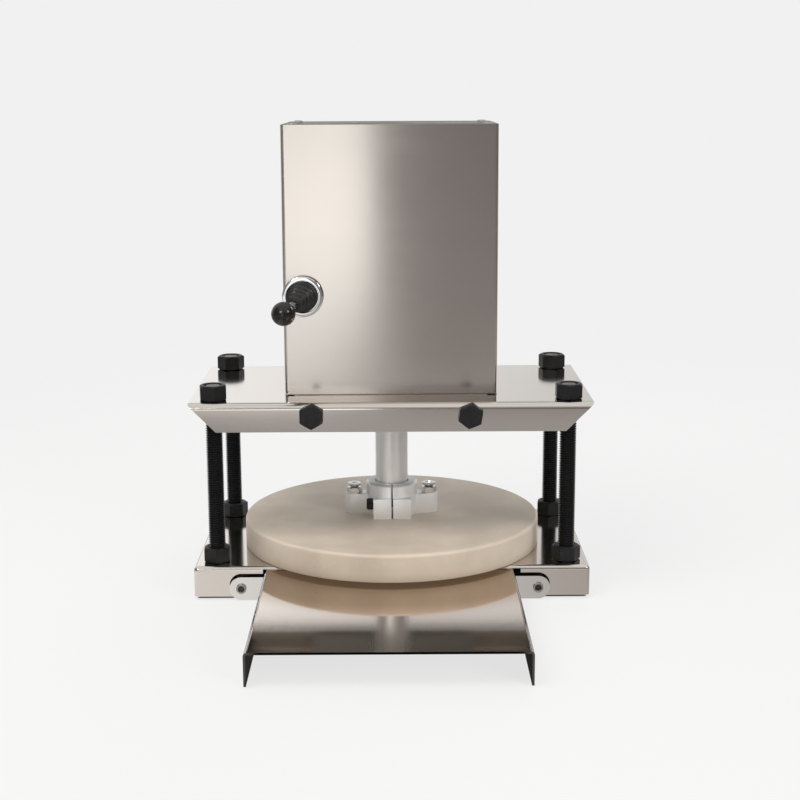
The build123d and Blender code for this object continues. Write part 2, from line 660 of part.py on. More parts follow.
def screw_bearing():
    """The outer ring of the shielded bearing."""
    ring = sleeve(BEARING_D, OUTER_RING_BORE, BEARING_W)
    shield = sleeve(OUTER_RING_BORE, INNER_RING_D + 2 * BODY_GAP, BEARING_SHIELD)
    ring += shield + Pos(0, 0, BEARING_W - BEARING_SHIELD) * shield
    return Pos(0, 0, TUBE_TOP) * ring


def bearing_inner_ring():
    return Pos(0, 0, TUBE_TOP) * sleeve(INNER_RING_D, SCREW_D + 2 * SEAT_PLAY, BEARING_W)


def limit_switches():
    width, depth, height = SWITCH_SIZE
    body = Pos(TUBE_D / 2 + BODY_GAP + width / 2, 0, 0) * Box(width, depth, height)
    tip = TUBE_BORE / 2 + KEYWAY_DEPTH
    button = Pos(tip, 0, 0) * TO_RIGHT * post(SWITCH_BUTTON_D, TUBE_D / 2 + width - tip)
    return group(Pos(0, 0, level) * (body + button) for level in switch_levels())


# Gears and motor

def involute(radius, base):
    """Involute angle at a radius, in radians."""
    return math.sqrt((radius / base) ** 2 - 1) - math.acos(min(1, base / radius))


def polar(radius, angle):
    return (radius * math.cos(angle), radius * math.sin(angle))


def gear_outline(teeth):
    """A spur gear outline, one tooth on +X: each flank is the arc through three points of its involute."""
    pitch = GEAR_MODULE * teeth / 2
    base = pitch * math.cos(math.radians(PRESSURE_ANGLE))
    tip = pitch + ADDENDUM * GEAR_MODULE
    root = pitch - DEDENDUM * GEAR_MODULE
    start = max(root, base)
    half_tooth = (math.pi * GEAR_MODULE / 2 - BACKLASH / 2) / 2 / pitch
    radii = [start, (start + tip) / 2, tip]
    angles = [half_tooth + involute(pitch, base) - involute(r, base) for r in radii]
    step = 2 * math.pi / teeth
    edges = []
    for tooth in range(teeth):
        middle = tooth * step
        rising = [polar(r, middle - a) for r, a in zip(radii, angles)]
        falling = [polar(r, middle + a) for r, a in zip(radii, angles)][::-1]
        foot_in = polar(root, middle - angles[0])
        foot_out = polar(root, middle + angles[0])
        next_foot = polar(root, middle + step - angles[0])
        if root < base:
            edges.append(Line(foot_in, rising[0]))
        edges.append(ThreePointArc(*rising))
        edges.append(ThreePointArc(rising[-1], polar(tip, middle), falling[0]))
        edges.append(ThreePointArc(*falling))
        if root < base:
            edges.append(Line(falling[-1], foot_out))
        edges.append(ThreePointArc(foot_out, polar(root, middle + step / 2), next_foot))
    return make_face(Curve() + edges)


def driven_gear():
    hub_h = GEAR_FOOT - TUBE_TOP - BEARING_W
    turn = Rot(0, 0, 90 + 180 / GEAR_TEETH)
    gear = Pos(0, 0, GEAR_FOOT) * turn * extrude(gear_outline(GEAR_TEETH), GEAR_FACE)
    gear += Pos(0, 0, GEAR_FOOT - hub_h) * post(SCREW_COLLAR_D, hub_h)
    gear -= Pos(0, 0, GEAR_FOOT - hub_h) * post(SCREW_D + 2 * SEAT_PLAY, hub_h + GEAR_FACE)
    return gear - key_slot()


def motor_pinion():
    pinion = Rot(0, 0, -90) * extrude(gear_outline(PINION_TEETH), PINION_FACE)
    pinion -= post(MOTOR_SHAFT_D + 2 * SEAT_PLAY, PINION_FACE)
    return Pos(0, MOTOR_Y, GEAR_FOOT) * pinion


def motor_shaft():
    foot = TUBE_TOP - MOTOR_SHAFT_SEAT + HOLE_SPARE
    return Pos(0, MOTOR_Y, foot) * post(MOTOR_SHAFT_D, GEAR_FOOT + PINION_FACE - foot)


def motor_body():
    can = post(MOTOR_D, MOTOR_LENGTH)
    can = chamfer(can.edges().filter_by(GeomType.CIRCLE), MOTOR_BEVEL)
    can += Pos(0, 0, MOTOR_LENGTH) * post(MOTOR_BOSS_D, MOTOR_BOSS_H)
    seat = MOTOR_LENGTH - MOTOR_SHAFT_SEAT
    can -= Pos(0, 0, seat) * post(MOTOR_SHAFT_D + 2 * RUN_PLAY, MOTOR_SHAFT_SEAT + MOTOR_BOSS_H)
    for side in (-1, 1):
        depth = MOTOR_SCREW_GRIP + HOLE_SPARE
        hole = post(MOTOR_SCREW_D + 2 * THREAD_PLAY, depth)
        can -= Pos(side * MOTOR_SCREW_X, 0, MOTOR_LENGTH - depth) * hole
    return Pos(0, MOTOR_Y, TUBE_TOP - MOTOR_LENGTH) * can


def motor_screws():
    head = TUBE_TOP + CASE_FLOOR - MOTOR_HEAD_SINK
    length = head - TUBE_TOP + MOTOR_SCREW_GRIP
    screw = headed_pin(MOTOR_HEAD_D, MOTOR_HEAD_H, MOTOR_SCREW_D, length)
    return group(Pos(side * MOTOR_SCREW_X, MOTOR_Y, head) * screw for side in (-1, 1))


GEAR_ROOM = GEAR_MODULE * (GEAR_TEETH / 2 + ADDENDUM) + CASE_GAP
PINION_ROOM = GEAR_MODULE * (PINION_TEETH / 2 + ADDENDUM) + CASE_GAP
CASE_SCREW_SPOTS = [Pos(side * CASE_SCREW_X, MOTOR_Y + CASE_SCREW_BACK) for side in (-1, 1)]
CASE_SCREW_SPOTS += [Rot(0, 0, turn) * Pos(CASE_LUG_CIRCLE / 2, 0) for turn in (225, 315)]


def case_outline():
    """Plan of the gear case: a skin round both gears, with two lugs in front."""
    big = Circle(GEAR_ROOM + CASE_WALL)
    small = Pos(0, MOTOR_Y) * Circle(MOTOR_D / 2 + CASE_WALL)
    outline = make_hull(big.edges() + small.edges())
    for spot in CASE_SCREW_SPOTS[2:]:
        outline += spot * Circle(CASE_LUG_R)
    return outline


def gear_case():
    case = extrude(case_outline(), CASE_FLOOR + CASE_ROOM)
    room = Circle(GEAR_ROOM) + Pos(0, MOTOR_Y) * Circle(PINION_ROOM)
    case -= Pos(0, 0, CASE_FLOOR) * extrude(room, CASE_ROOM)
    socket = sleeve(TUBE_D + 2 * CASE_WALL, TUBE_D + 2 * SEAT_PLAY, CASE_SOCKET)
    case += Pos(0, 0, -CASE_SOCKET) * socket
    case -= post(BEARING_D + 2 * SEAT_PLAY, BEARING_W)
    case -= post(SCREW_COLLAR_D + 2 * CASE_CLEAR, CASE_FLOOR)
    motor = Pos(0, MOTOR_Y, 0)
    case -= motor * post(MOTOR_BOSS_D + 2 * SEAT_PLAY, MOTOR_BOSS_H)
    case -= motor * post(MOTOR_SHAFT_D + 2 * CASE_CLEAR, CASE_FLOOR)
    for side in (-1, 1):
        hole = motor * Pos(side * MOTOR_SCREW_X, 0, 0)
        case -= hole * post(MOTOR_SCREW_D + 2 * HOLE_PLAY, CASE_FLOOR)
        sink = post(MOTOR_HEAD_D + 2 * HOLE_PLAY, MOTOR_HEAD_SINK)
        case -= hole * Pos(0, 0, CASE_FLOOR - MOTOR_HEAD_SINK) * sink
    thread = CASE_SCREW_LENGTH - CASE_LID + HOLE_SPARE
    for spot in CASE_SCREW_SPOTS:
        hole = post(CASE_SCREW_D + 2 * THREAD_PLAY, thread)
        case -= Pos(0, 0, CASE_FLOOR + CASE_ROOM - thread) * spot * hole
    case -= Pos(0, MOTOR_Y, -CASE_SOCKET) * post(MOTOR_D + 2 * CASE_CLEAR, CASE_SOCKET)
    return Pos(0, 0, TUBE_TOP) * case


def gear_case_cover():
    lid = extrude(case_outline(), CASE_LID)
    lid -= post(PIVOT_END_D + 2 * RUN_PLAY, CASE_LID)
    for spot in CASE_SCREW_SPOTS:
        lid -= spot * post(CASE_SCREW_D + 2 * HOLE_PLAY, CASE_LID)
    return Pos(0, 0, CASE_TOP) * lid


def gear_case_screws():
    screw = headed_pin(CASE_HEAD_D, CASE_HEAD_H, CASE_SCREW_D, CASE_SCREW_LENGTH)
    return group(Pos(0, 0, CASE_TOP + CASE_LID) * spot * screw for spot in CASE_SCREW_SPOTS)


# Housing

def screw_rows(inset, low, high):
    """Four screws by the side walls, as x and a height or depth, set in from both ends of the walls."""
    x = HOUSING_INNER_X - inset
    return [(side * x, end) for side in (-1, 1) for end in (low + TAB_INSET, high - TAB_INSET)]


def flange_screw_spots():
    """Screws that hold the side flanges of the housing down on the plate."""
    return screw_rows(HOUSING_FLANGE / 2, -HOUSING_FRONT, HOUSING_REAR)


def top_screw_spots():
    return screw_rows(TAB_LENGTH / 2, -HOUSING_FRONT, HOUSING_REAR)


def rear_screw_spots():
    return screw_rows(TAB_LENGTH / 2, PLATE_TOP, HOUSING_TOP)


def wrap_outline(inset):
    """Plan of the wrapper, pulled in on its closed sides."""
    width = HOUSING_WIDTH - 2 * inset
    depth = HOUSING_DEPTH - inset
    outline = Pos(0, inset - HOUSING_FRONT) * Rectangle(width, depth, align=(Align.CENTER, Align.MIN))
    return fillet(outline.vertices().group_by(Axis.Y)[0], HOUSING_BEND - inset)


def housing_wrap():
    sheet = HOUSING_SHEET
    wrap = Pos(0, 0, PLATE_TOP) * extrude(wrap_outline(0) - wrap_outline(sheet), HOUSING_H)
    front = sheet - HOUSING_FRONT
    wide = HOUSING_INNER_X
    floor = PLATE_TOP + sheet
    flange_front = front + HOUSING_BEND
    flange_rear = HOUSING_REAR - 2 * sheet - SHEET_PLAY
    for side in (-1, 1):
        low, high = sorted((side * wide, side * (wide - HOUSING_FLANGE)))
        wrap += block((low, flange_front, PLATE_TOP), (high, flange_rear, floor))
    for x, y in top_screw_spots():
        wrap += Pos(x, y, HOUSING_TOP - sheet) * Box(TAB_LENGTH, TAB_WIDTH, sheet, align=HANGING)
    for x, z in rear_screw_spots():
        wrap += Pos(x, HOUSING_REAR - sheet, z) * TO_REAR * Box(TAB_LENGTH, TAB_WIDTH, sheet, align=HANGING)
    flange_x = HOUSING_WIDTH / 2 - RELIEF_LENGTH
    wrap += block((-flange_x, front, PLATE_TOP), (flange_x, front + HOUSING_FRONT_FLANGE, floor))
    corner = (-HOUSING_FRONT, PLATE_TOP)
    behind, above = (FOLD_BREAK - HOUSING_FRONT, PLATE_TOP), (-HOUSING_FRONT, PLATE_TOP + FOLD_BREAK)
    wrap -= extrude(Plane.YZ * Polygon(corner, behind, above, align=None), flange_x, both=True)
    for side in (-1, 1):
        low, high = sorted((side * HOUSING_WIDTH / 2, side * flange_x))
        wrap -= block((low, -HOUSING_FRONT, PLATE_TOP), (high, front + HOUSING_BEND, PLATE_TOP + RELIEF_H))
    for x, y in flange_screw_spots():
        wrap -= Pos(x, y, PLATE_TOP) * post(COVER_SCREW_D + 2 * HOLE_PLAY, sheet)
    for x, y in top_screw_spots():
        wrap -= Pos(x, y, HOUSING_TOP - 2 * sheet) * post(COVER_SCREW_D + 2 * THREAD_PLAY, sheet)
    for x, z in rear_screw_spots():
        wrap -= Pos(x, HOUSING_REAR - sheet, z) * TO_FRONT * post(COVER_SCREW_D + 2 * THREAD_PLAY, sheet)
    return wrap - JOYSTICK * Pos(0, 0, -sheet) * post(STEM_D + 2 * SHEET_PLAY, sheet)


def top_cover():
    wide = HOUSING_INNER_X - SHEET_PLAY
    front = HOUSING_SHEET + SHEET_PLAY - HOUSING_FRONT
    low = HOUSING_TOP - HOUSING_SHEET
    cover = block((-wide, front, low), (wide, HOUSING_REAR, HOUSING_TOP))
    cover = fillet(cover.edges().filter_by(Axis.Z).group_by(Axis.Y)[0], HOUSING_BEND - HOUSING_SHEET)
    for x, y in top_screw_spots():
        cover -= Pos(x, y, low) * post(COVER_SCREW_D + 2 * HOLE_PLAY, HOUSING_SHEET)
    return cover


def rear_cover():
    wide = HOUSING_INNER_X - SHEET_PLAY
    front = HOUSING_REAR - HOUSING_SHEET
    top = HOUSING_TOP - HOUSING_SHEET - SHEET_PLAY
    cover = block((-wide, front, PLATE_TOP + SHEET_PLAY), (wide, HOUSING_REAR, top))
    for x, z in rear_screw_spots():
        cover -= Pos(x, HOUSING_REAR, z) * TO_FRONT * post(COVER_SCREW_D + 2 * HOLE_PLAY, HOUSING_SHEET)
    width, height = (size + 2 * SHEET_PLAY for size in INLET_BODY)
    cover -= INLET * Pos(0, 0, -HOUSING_SHEET) * Box(width, height, HOUSING_SHEET, align=STANDING)
    for side in (-1, 1):
        hole = post(INLET_SCREW_D + 2 * THREAD_PLAY, HOUSING_SHEET)
        cover -= INLET * Pos(side * INLET_SCREW_X, 0, -HOUSING_SHEET) * hole
    return cover


def cover_screws():
    screw = headed_pin(COVER_HEAD_D, COVER_HEAD_H, COVER_SCREW_D, COVER_SCREW_LENGTH)
    top = [Pos(x, y, HOUSING_TOP) * screw for x, y in top_screw_spots()]
    rear = [Pos(x, HOUSING_REAR, z) * TO_REAR * screw for x, z in rear_screw_spots()]
    return group(top + rear)


def housing_screws():
    screw = headed_pin(COVER_HEAD_D, COVER_HEAD_H, COVER_SCREW_D, COVER_SCREW_LENGTH)
    return group(Pos(x, y, PLATE_TOP + HOUSING_SHEET) * screw for x, y in flange_screw_spots())


# Electrics

def power_supply():
    """A folded case, open against the wall of the housing."""
    width, depth, height = SUPPLY_SIZE
    middle = Pos(HOUSING_INNER_X - width / 2, SUPPLY_Y, PLATE_TOP + SUPPLY_LIFT)
    case = Box(width, depth, height, align=STANDING)
    inside = Box(width, depth - 2 * SUPPLY_SHEET, height - 2 * SUPPLY_SHEET, align=STANDING)
    return middle * (case - Pos(SUPPLY_SHEET, 0, SUPPLY_SHEET) * inside)


BOARD = Pos(STANDOFF_LENGTH - HOUSING_INNER_X, BOARD_Y, PLATE_TOP + BOARD_LIFT) * TO_RIGHT


def board_spots():
    """Standoff places, in the plane of the board."""
    thick, depth, height = BOARD_SIZE
    return GridLocations(height - 2 * STANDOFF_INSET, depth - 2 * STANDOFF_INSET, 2, 2)


def control_board():
    thick, depth, height = BOARD_SIZE
    return BOARD * Box(height, depth, thick, align=STANDING)


def board_standoffs():
    pillar = Cylinder(STANDOFF_D / 2, STANDOFF_LENGTH, align=HANGING)
    return group(BOARD * spot * pillar for spot in board_spots())


def relays():
    width, depth, height = RELAY_SIZE
    relay = Pos(0, 0, BOARD_SIZE[0]) * Box(height, depth, width, align=STANDING)
    return group(BOARD * Pos(side * RELAY_PITCH / 2, 0, 0) * relay for side in (-1, 1))


INLET = Pos(INLET_SIDE - HOUSING_WIDTH / 2, HOUSING_REAR, PLATE_TOP + INLET_LIFT) * TO_REAR * Rot(0, 0, 180)


def power_inlet():
    """Appliance inlet: a flange on the rear cover and a body behind it, open to the rear."""
    flange = RectangleRounded(*INLET_FLANGE, INLET_CORNER)
    inlet = extrude(flange, INLET_FLANGE_T)
    inlet += Pos(0, 0, -INLET_DEPTH) * Box(*INLET_BODY, INLET_DEPTH, align=STANDING)
    recess = Rectangle(*INLET_RECESS)
    recess = chamfer(recess.vertices().group_by(Axis.Y)[-1], INLET_CORNER)
    inlet -= Pos(0, 0, INLET_FLANGE_T - INLET_RECESS_DEPTH) * extrude(recess, INLET_RECESS_DEPTH)
    for side in (-1, 1):
        inlet -= Pos(side * INLET_SCREW_X, 0, 0) * post(INLET_SCREW_D + 2 * HOLE_PLAY, INLET_FLANGE_T)
    for x, y in pin_spots():
        inlet -= Pos(x, y, pin_foot()) * pin(SEAT_PLAY)
    return INLET * inlet


def pin_spots():
    return [(-PIN_SPREAD, -PIN_RISE), (PIN_SPREAD, -PIN_RISE), (0, PIN_RISE)]


def pin_foot():
    """The back of the pins, sunk into the floor of the recess."""
    return INLET_FLANGE_T - INLET_RECESS_DEPTH - PIN_ROOT


def pin(play):
    width, height = (size + 2 * play for size in PIN_SIZE)
    return Box(width, height, PIN_LENGTH, align=STANDING)


def inlet_pins():
    return group(INLET * Pos(x, y, pin_foot()) * pin(0) for x, y in pin_spots())


def inlet_screws():
    screw = headed_pin(INLET_HEAD_D, INLET_HEAD_H, INLET_SCREW_D, INLET_SCREW_LENGTH)
    return group(INLET * Pos(side * INLET_SCREW_X, 0, INLET_FLANGE_T) * screw for side in (-1, 1))


# Joystick, drawn with the panel face at z = 0, forward along +Z, leaning towards +X

LEVER = PIVOT * Rot(0, LEVER_TILT, 0)


def joystick_bezel():
    ring = post(BEZEL_D, BEZEL_H)
    ring = chamfer(ring.edges().sort_by(Axis.Z)[-1], BEZEL_BEVEL)
    ring -= post(STEM_D + 2 * SEAT_PLAY, BEZEL_SEAT)
    ring -= Pos(0, 0, BEZEL_SEAT) * post(BEZEL_OPENING, BEZEL_H)
    return JOYSTICK * ring


def joystick_body():
    stem = Pos(0, 0, BEZEL_SEAT - STEM_LENGTH) * sleeve(STEM_D, STEM_BORE, STEM_LENGTH)
    stem += Pos(0, 0, BEZEL_SEAT - STEM_LENGTH - CONTACT_H) * post(CONTACT_D, CONTACT_H)
    pin_hole = Cylinder(PIVOT_PIN_D / 2 + RUN_PLAY, STEM_D)
    return JOYSTICK * (stem - PIVOT * TO_FRONT * pin_hole)


def joystick_lock_nut():
    ring = sleeve(LOCK_RING_D, STEM_D + 2 * THREAD_PLAY, LOCK_RING_H)
    for spot in PolarLocations(LOCK_RING_D / 2, 4):
        ring -= spot * Box((LOCK_RING_D - STEM_D) / 2, LOCK_RING_NOTCH, 2 * LOCK_RING_H)
    return JOYSTICK * Pos(0, 0, -HOUSING_SHEET - LOCK_RING_H) * ring


def joystick_lever():
    ball_face = LEVER_LENGTH - BALL_D / 2
    stick = Pos(0, 0, -LEVER_TAIL) * post(LEVER_TIP_D, LEVER_TAIL)
    stick += Cone(LEVER_ROOT_D / 2, LEVER_TIP_D / 2, ball_face, align=STANDING)
    stick += Pos(0, 0, ball_face) * post(BALL_THREAD_D, BALL_THREAD_LENGTH)
    pin = TO_FRONT * Cylinder(PIVOT_PIN_D / 2, STEM_D - 2 * BODY_GAP)
    return JOYSTICK * LEVER * (stick + pin)


def joystick_ball():
    ball_face = LEVER_LENGTH - BALL_D / 2
    ball = Pos(0, 0, LEVER_LENGTH) * Sphere(BALL_D / 2)
    ball -= post(LEVER_TIP_D + 2 * BODY_GAP, ball_face + HOLE_SPARE)
    ball -= Pos(0, 0, ball_face) * post(BALL_THREAD_D + 2 * THREAD_PLAY, BALL_THREAD_LENGTH + HOLE_SPARE)
    return JOYSTICK * LEVER * ball


def boot_circle(share, diameter):
    """A circle across the boot, at a share of its height, turned part of the way to the lever."""
    tilt = math.radians(LEVER_TILT)
    tip_x = BOOT_REACH * math.sin(tilt)
    tip_z = BOOT_REACH * math.cos(tilt) - PIVOT_DEPTH
    centre = (tip_x * share, 0, BEZEL_SEAT + (tip_z - BEZEL_SEAT) * share)
    lean = tilt * share
    across = (math.cos(lean), 0, -math.sin(lean))
    along = (math.sin(lean), 0, math.cos(lean))
    return Plane(centre, x_dir=across, z_dir=along) * Circle(diameter / 2)


def joystick_boot():
    """Rubber bellows: stepped ribs outside, a plain taper inside."""
    ribs = []
    for rib in range(BOOT_RIBS):
        crest = BOOT_BASE_D + (BOOT_TIP_D - BOOT_BASE_D) * rib / (BOOT_RIBS - 1)
        groove = crest - 2 * BOOT_RIB_DEPTH
        places = {0: crest, BOOT_CREST_END: crest, BOOT_GROOVE_START: groove, BOOT_GROOVE_END: groove}
        for place, diameter in places.items():
            ribs.append(boot_circle((rib + place) / (BOOT_RIBS - 1 + BOOT_GROOVE_END), diameter))
    shell = loft(ribs, ruled=True)
    bore_base = BOOT_BASE_D - 2 * (BOOT_RIB_DEPTH + BOOT_WALL)
    bore_tip = LEVER_ROOT_D
    bore = loft([boot_circle(-0.01, bore_base), boot_circle(1.01, bore_tip)], ruled=True)
    return JOYSTICK * (shell - bore)


PIECES = {
    "base_plate": base_plate(),
    "rubber_feet": rubber_feet(),
    "front_tray": front_tray(),
    "tray_screws": tray_screws(),
    "tray_nuts": tray_nuts(),
    "upper_nuts": nuts(PLATE_TOP, NUT_H, UPPER_NUT_TURNS),
    "plate_lock_nuts": nuts(PLATE_UNDER - LOCK_NUT_H, LOCK_NUT_H, LOCK_NUT_TURNS),
    "lower_nuts": nuts(BASE_TOP, NUT_H, LOWER_NUT_TURNS),
    "base_lock_nuts": nuts(BASE_UNDER - LOCK_NUT_H, LOCK_NUT_H, LOCK_NUT_TURNS),
    "top_plate": top_plate(),
    "crosshead_block": crosshead_block(),
    "crosshead_bolts": crosshead_bolts(),
    "guide_bush": guide_bush(),
    "press_disc": press_disc(),
    "press_shaft": press_shaft(),
    "hub_clamp": hub_clamp(),
    "clamp_screw": clamp_screw(),
    "hub_screws": hub_screws(),
    "hub_nuts": hub_nuts(),
    "actuator_tube": actuator_tube(),
    "tube_screws": tube_screws(),
    "lead_nut": lead_nut(),
    "lead_screw": lead_screw(),
    "gear_key": gear_key(),
    "screw_bearing": screw_bearing(),
    "bearing_inner_ring": bearing_inner_ring(),
    "limit_switches": limit_switches(),
    "driven_gear": driven_gear(),
    "motor_pinion": motor_pinion(),
    "motor_shaft": motor_shaft(),
    "motor_body": motor_body(),
    "motor_screws": motor_screws(),
    "gear_case": gear_case(),
    "gear_case_cover": gear_case_cover(),
    "gear_case_screws": gear_case_screws(),
    "housing_wrap": housing_wrap(),
    "top_cover": top_cover(),
    "rear_cover": rear_cover(),
    "cover_screws": cover_screws(),
    "housing_screws": housing_screws(),
    "power_supply": power_supply(),
    "control_board": control_board(),
    "board_standoffs": board_standoffs(),
    "relays": relays(),
    "power_inlet": power_inlet(),
    "inlet_pins": inlet_pins(),
    "inlet_screws": inlet_screws(),
    "joystick_bezel": joystick_bezel(),
    "joystick_body": joystick_body(),
    "joystick_lock_nut": joystick_lock_nut(),
    "joystick_lever": joystick_lever(),
    "joystick_ball": joystick_ball(),
    "joystick_boot": joystick_boot(),
}
ROD_NAMES = ("rod_front_left", "rod_front_right", "rod_rear_left", "rod_rear_right")
for rod_name, rod_spot in zip(ROD_NAMES, ROD_SPOTS):
    PIECES[rod_name] = threaded_rod(rod_spot)

os.makedirs("parts", exist_ok=True)
for node, shape in PIECES.items():
    export_step(Pos(0, PRESS_Y, 0) * shape, f"parts/{node}.step")
print(len(PIECES), "nodes; press axis at y =", round(PRESS_Y, 3), "; lever axis turn", LEAN_TURN)
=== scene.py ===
# %% [markdown]
# # An electric dough press, dressed in Blender
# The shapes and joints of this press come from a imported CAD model. Blender adds what CAD leaves plain:
# threads, chamfers, screw recesses, the rubber bellows and every finish. The model is loaded once and stays
# where it is, so each new piece is made at its real place, in metres, and told which CAD body it moves with.

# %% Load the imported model
import json
import math
from contextlib import contextmanager

import bpy
from mathutils import Euler, Matrix, Vector


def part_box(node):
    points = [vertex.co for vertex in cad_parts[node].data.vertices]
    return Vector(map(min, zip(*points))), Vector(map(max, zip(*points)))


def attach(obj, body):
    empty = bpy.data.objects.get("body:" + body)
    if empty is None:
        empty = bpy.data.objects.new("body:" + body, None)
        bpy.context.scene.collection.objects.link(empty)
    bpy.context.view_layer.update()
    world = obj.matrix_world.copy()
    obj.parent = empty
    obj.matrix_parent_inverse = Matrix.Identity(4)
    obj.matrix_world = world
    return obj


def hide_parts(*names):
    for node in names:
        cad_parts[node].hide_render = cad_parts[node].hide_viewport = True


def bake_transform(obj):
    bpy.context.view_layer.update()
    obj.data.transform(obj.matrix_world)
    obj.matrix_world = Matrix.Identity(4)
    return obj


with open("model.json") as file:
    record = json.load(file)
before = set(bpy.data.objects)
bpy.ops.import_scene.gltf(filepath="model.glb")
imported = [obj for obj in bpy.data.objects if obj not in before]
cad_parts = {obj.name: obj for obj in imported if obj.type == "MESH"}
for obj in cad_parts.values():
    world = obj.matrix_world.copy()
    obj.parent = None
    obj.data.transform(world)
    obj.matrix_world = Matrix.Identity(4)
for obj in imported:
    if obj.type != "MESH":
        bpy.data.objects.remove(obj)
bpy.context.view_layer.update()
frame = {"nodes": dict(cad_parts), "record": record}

MM = 0.001

# %% [markdown]
# ## Camera
# The press was photographed from the front, a little above it, with a lens long enough to keep the posts
# upright. The camera could be nudged by eye until it looks right, but a fit on the posts, plates and disc
# gives its place and turn directly. The turns are pitch, yaw and a trace of roll about the line of sight.

# %% Camera
CAMERA_PLACE = (0.00392, -1.03225, 0.35824)
CAMERA_PITCH, CAMERA_YAW, CAMERA_ROLL = 0.205146, -0.0023933, -0.0043565  # radians, pitch downwards
CAMERA_LENS, CAMERA_SENSOR = 67.42, 36.0  # millimetres

unrolled = Euler((math.pi / 2 - CAMERA_PITCH, 0, CAMERA_YAW)).to_matrix()
view = unrolled @ Matrix.Rotation(CAMERA_ROLL, 3, "Z")
bpy.ops.object.camera_add(location=CAMERA_PLACE, rotation=view.to_euler())
camera = bpy.context.object
camera.data.sensor_fit = "HORIZONTAL"
camera.data.sensor_width, camera.data.lens = CAMERA_SENSOR, CAMERA_LENS
bpy.context.scene.camera = camera
bpy.context.scene.view_settings.view_transform = "Standard"
print("camera", [round(x, 3) for x in camera.location], "lens", CAMERA_LENS)

# %% [markdown]
# ## Shader maths
# A finish is a small sum: grain plus smudges, less wear. Wiring Math nodes by hand hides that sum, so one
# class wraps an output socket and lets ordinary Python operators add the nodes. Every other node comes from
# its one method `node`, which sets the node's own switches first and then its sockets, by value or by link.


# %% A socket that does sums
class Value:
    """One output socket of a node tree. Operators add Math nodes."""

    def __init__(self, tree, socket=None):
        self.tree, self.socket = tree, socket

    def node(self, kind, settings=None, inputs=None, output=0):
        made = self.tree.nodes.new("ShaderNode" + kind)
        for name, setting in (settings or {}).items():
            setattr(made, name, setting)
        for key, value in (inputs or {}).items():
            if isinstance(value, Value):
                self.tree.links.new(value.socket, made.inputs[key])
            else:
                made.inputs[key].default_value = value
        return Value(self.tree, made.outputs[output])

    def math(self, operation, *values):
        return self.node("Math", {"operation": operation}, dict(enumerate(values)))

    def vector(self, operation, *values, output=0):
        return self.node("VectorMath", {"operation": operation}, dict(enumerate(values)), output)

    def __add__(self, other):
        return self.math("ADD", self, other)

    def __sub__(self, other):
        return self.math("SUBTRACT", self, other)

    def __rsub__(self, other):
        return self.math("SUBTRACT", other, self)

    def __mul__(self, other):
        return self.math("MULTIPLY", self, other)

    __radd__, __rmul__ = __add__, __mul__


def new_material(name):
    """A material and a value to start its nodes from."""
    material = bpy.data.materials.new(name)
    material.use_nodes = True
    return material, Value(material.node_tree)


def link_surface(shader, output="Material Output"):
    """Joins a finished shader to its tree's output node."""
    shader.tree.links.new(shader.socket, shader.tree.nodes[output].inputs["Surface"])


print("shader sums ready")

# %% [markdown]
# ## Tones and masks
# The floor, the cards and the finishes all mix tones by a mask: a number that is 0 in one place, 1 in another
# and rises softly between them. Colour ramps could do that, but a few functions say in words where a mask
# begins and ends, and everything below shares them.


# %% Tones and masks
def step(value, low, high):
    """0 below low, 1 above high and a soft rise between them."""
    return value.node("MapRange", {"interpolation_type": "SMOOTHSTEP"},
                      {"Value": value, "From Min": low, "From Max": high})


def blended(factor, low, high):
    """A colour that runs from one colour to another with the factor."""
    return factor.node("Mix", {"data_type": "RGBA"}, {0: factor, 6: low, 7: high}, 2)


def between(factor, low, high):
    """The same for two plain colours."""
    return blended(factor, (*low, 1), (*high, 1))


def dimmed(colour, level):
    """A colour at a level that changes over the surface."""
    return level.node("VectorMath", {"operation": "SCALE"}, {0: colour, "Scale": level})


def along(place, axis):
    """One coordinate of a place: 0, 1 or 2 for X, Y or Z."""
    return place.node("SeparateXYZ", inputs={0: place}, output=axis)


def inside(place, middle, half, soft):
    """1 inside a rectangle or a box and 0 outside it, with a soft edge."""
    spread = place.vector("ABSOLUTE", place.vector("SUBTRACT", place, middle))
    room = [size - along(spread, axis) for axis, size in enumerate(half)]
    nearest = room[0]
    for other in room[1:]:
        nearest = nearest.math("MINIMUM", nearest, other)
    return step(nearest, 0, soft)


print("tones and masks ready")

# %% [markdown]
# ## Background
# The press stands in front of a pale, even background, as in a shop picture. A white wall could be modelled,
# but the world does it without a seam. Its level is what the camera, mirrors and glass see; matt surfaces get
# a quieter, plain light from the same world.

# %% Background
BACKDROP = 0.879  # the pale grey-white that the camera sees
SKY_FILL = 0.50  # light on matt surfaces from all round


def ray(value, kind):
    """1 for rays of one kind, such as those straight from the camera, and 0 for the others."""
    return value.node("LightPath", output=f"Is {kind} Ray")


def seen(value):
    """1 for rays from the camera, off a mirror or through glass, 0 for the light on matt surfaces."""
    straight, glossy, through = (ray(value, kind) for kind in ("Camera", "Glossy", "Transmission"))
    return straight.math("MAXIMUM", straight, glossy.math("MAXIMUM", glossy, through))


world = bpy.data.worlds.new("studio")
bpy.context.scene.world = world
world.use_nodes = True
sky = Value(world.node_tree)
background = sky.node("Background", inputs={"Color": SKY_FILL + (BACKDROP - SKY_FILL) * seen(sky)})
link_surface(background, "World Output")
print("background level", BACKDROP, "light from all round", SKY_FILL)
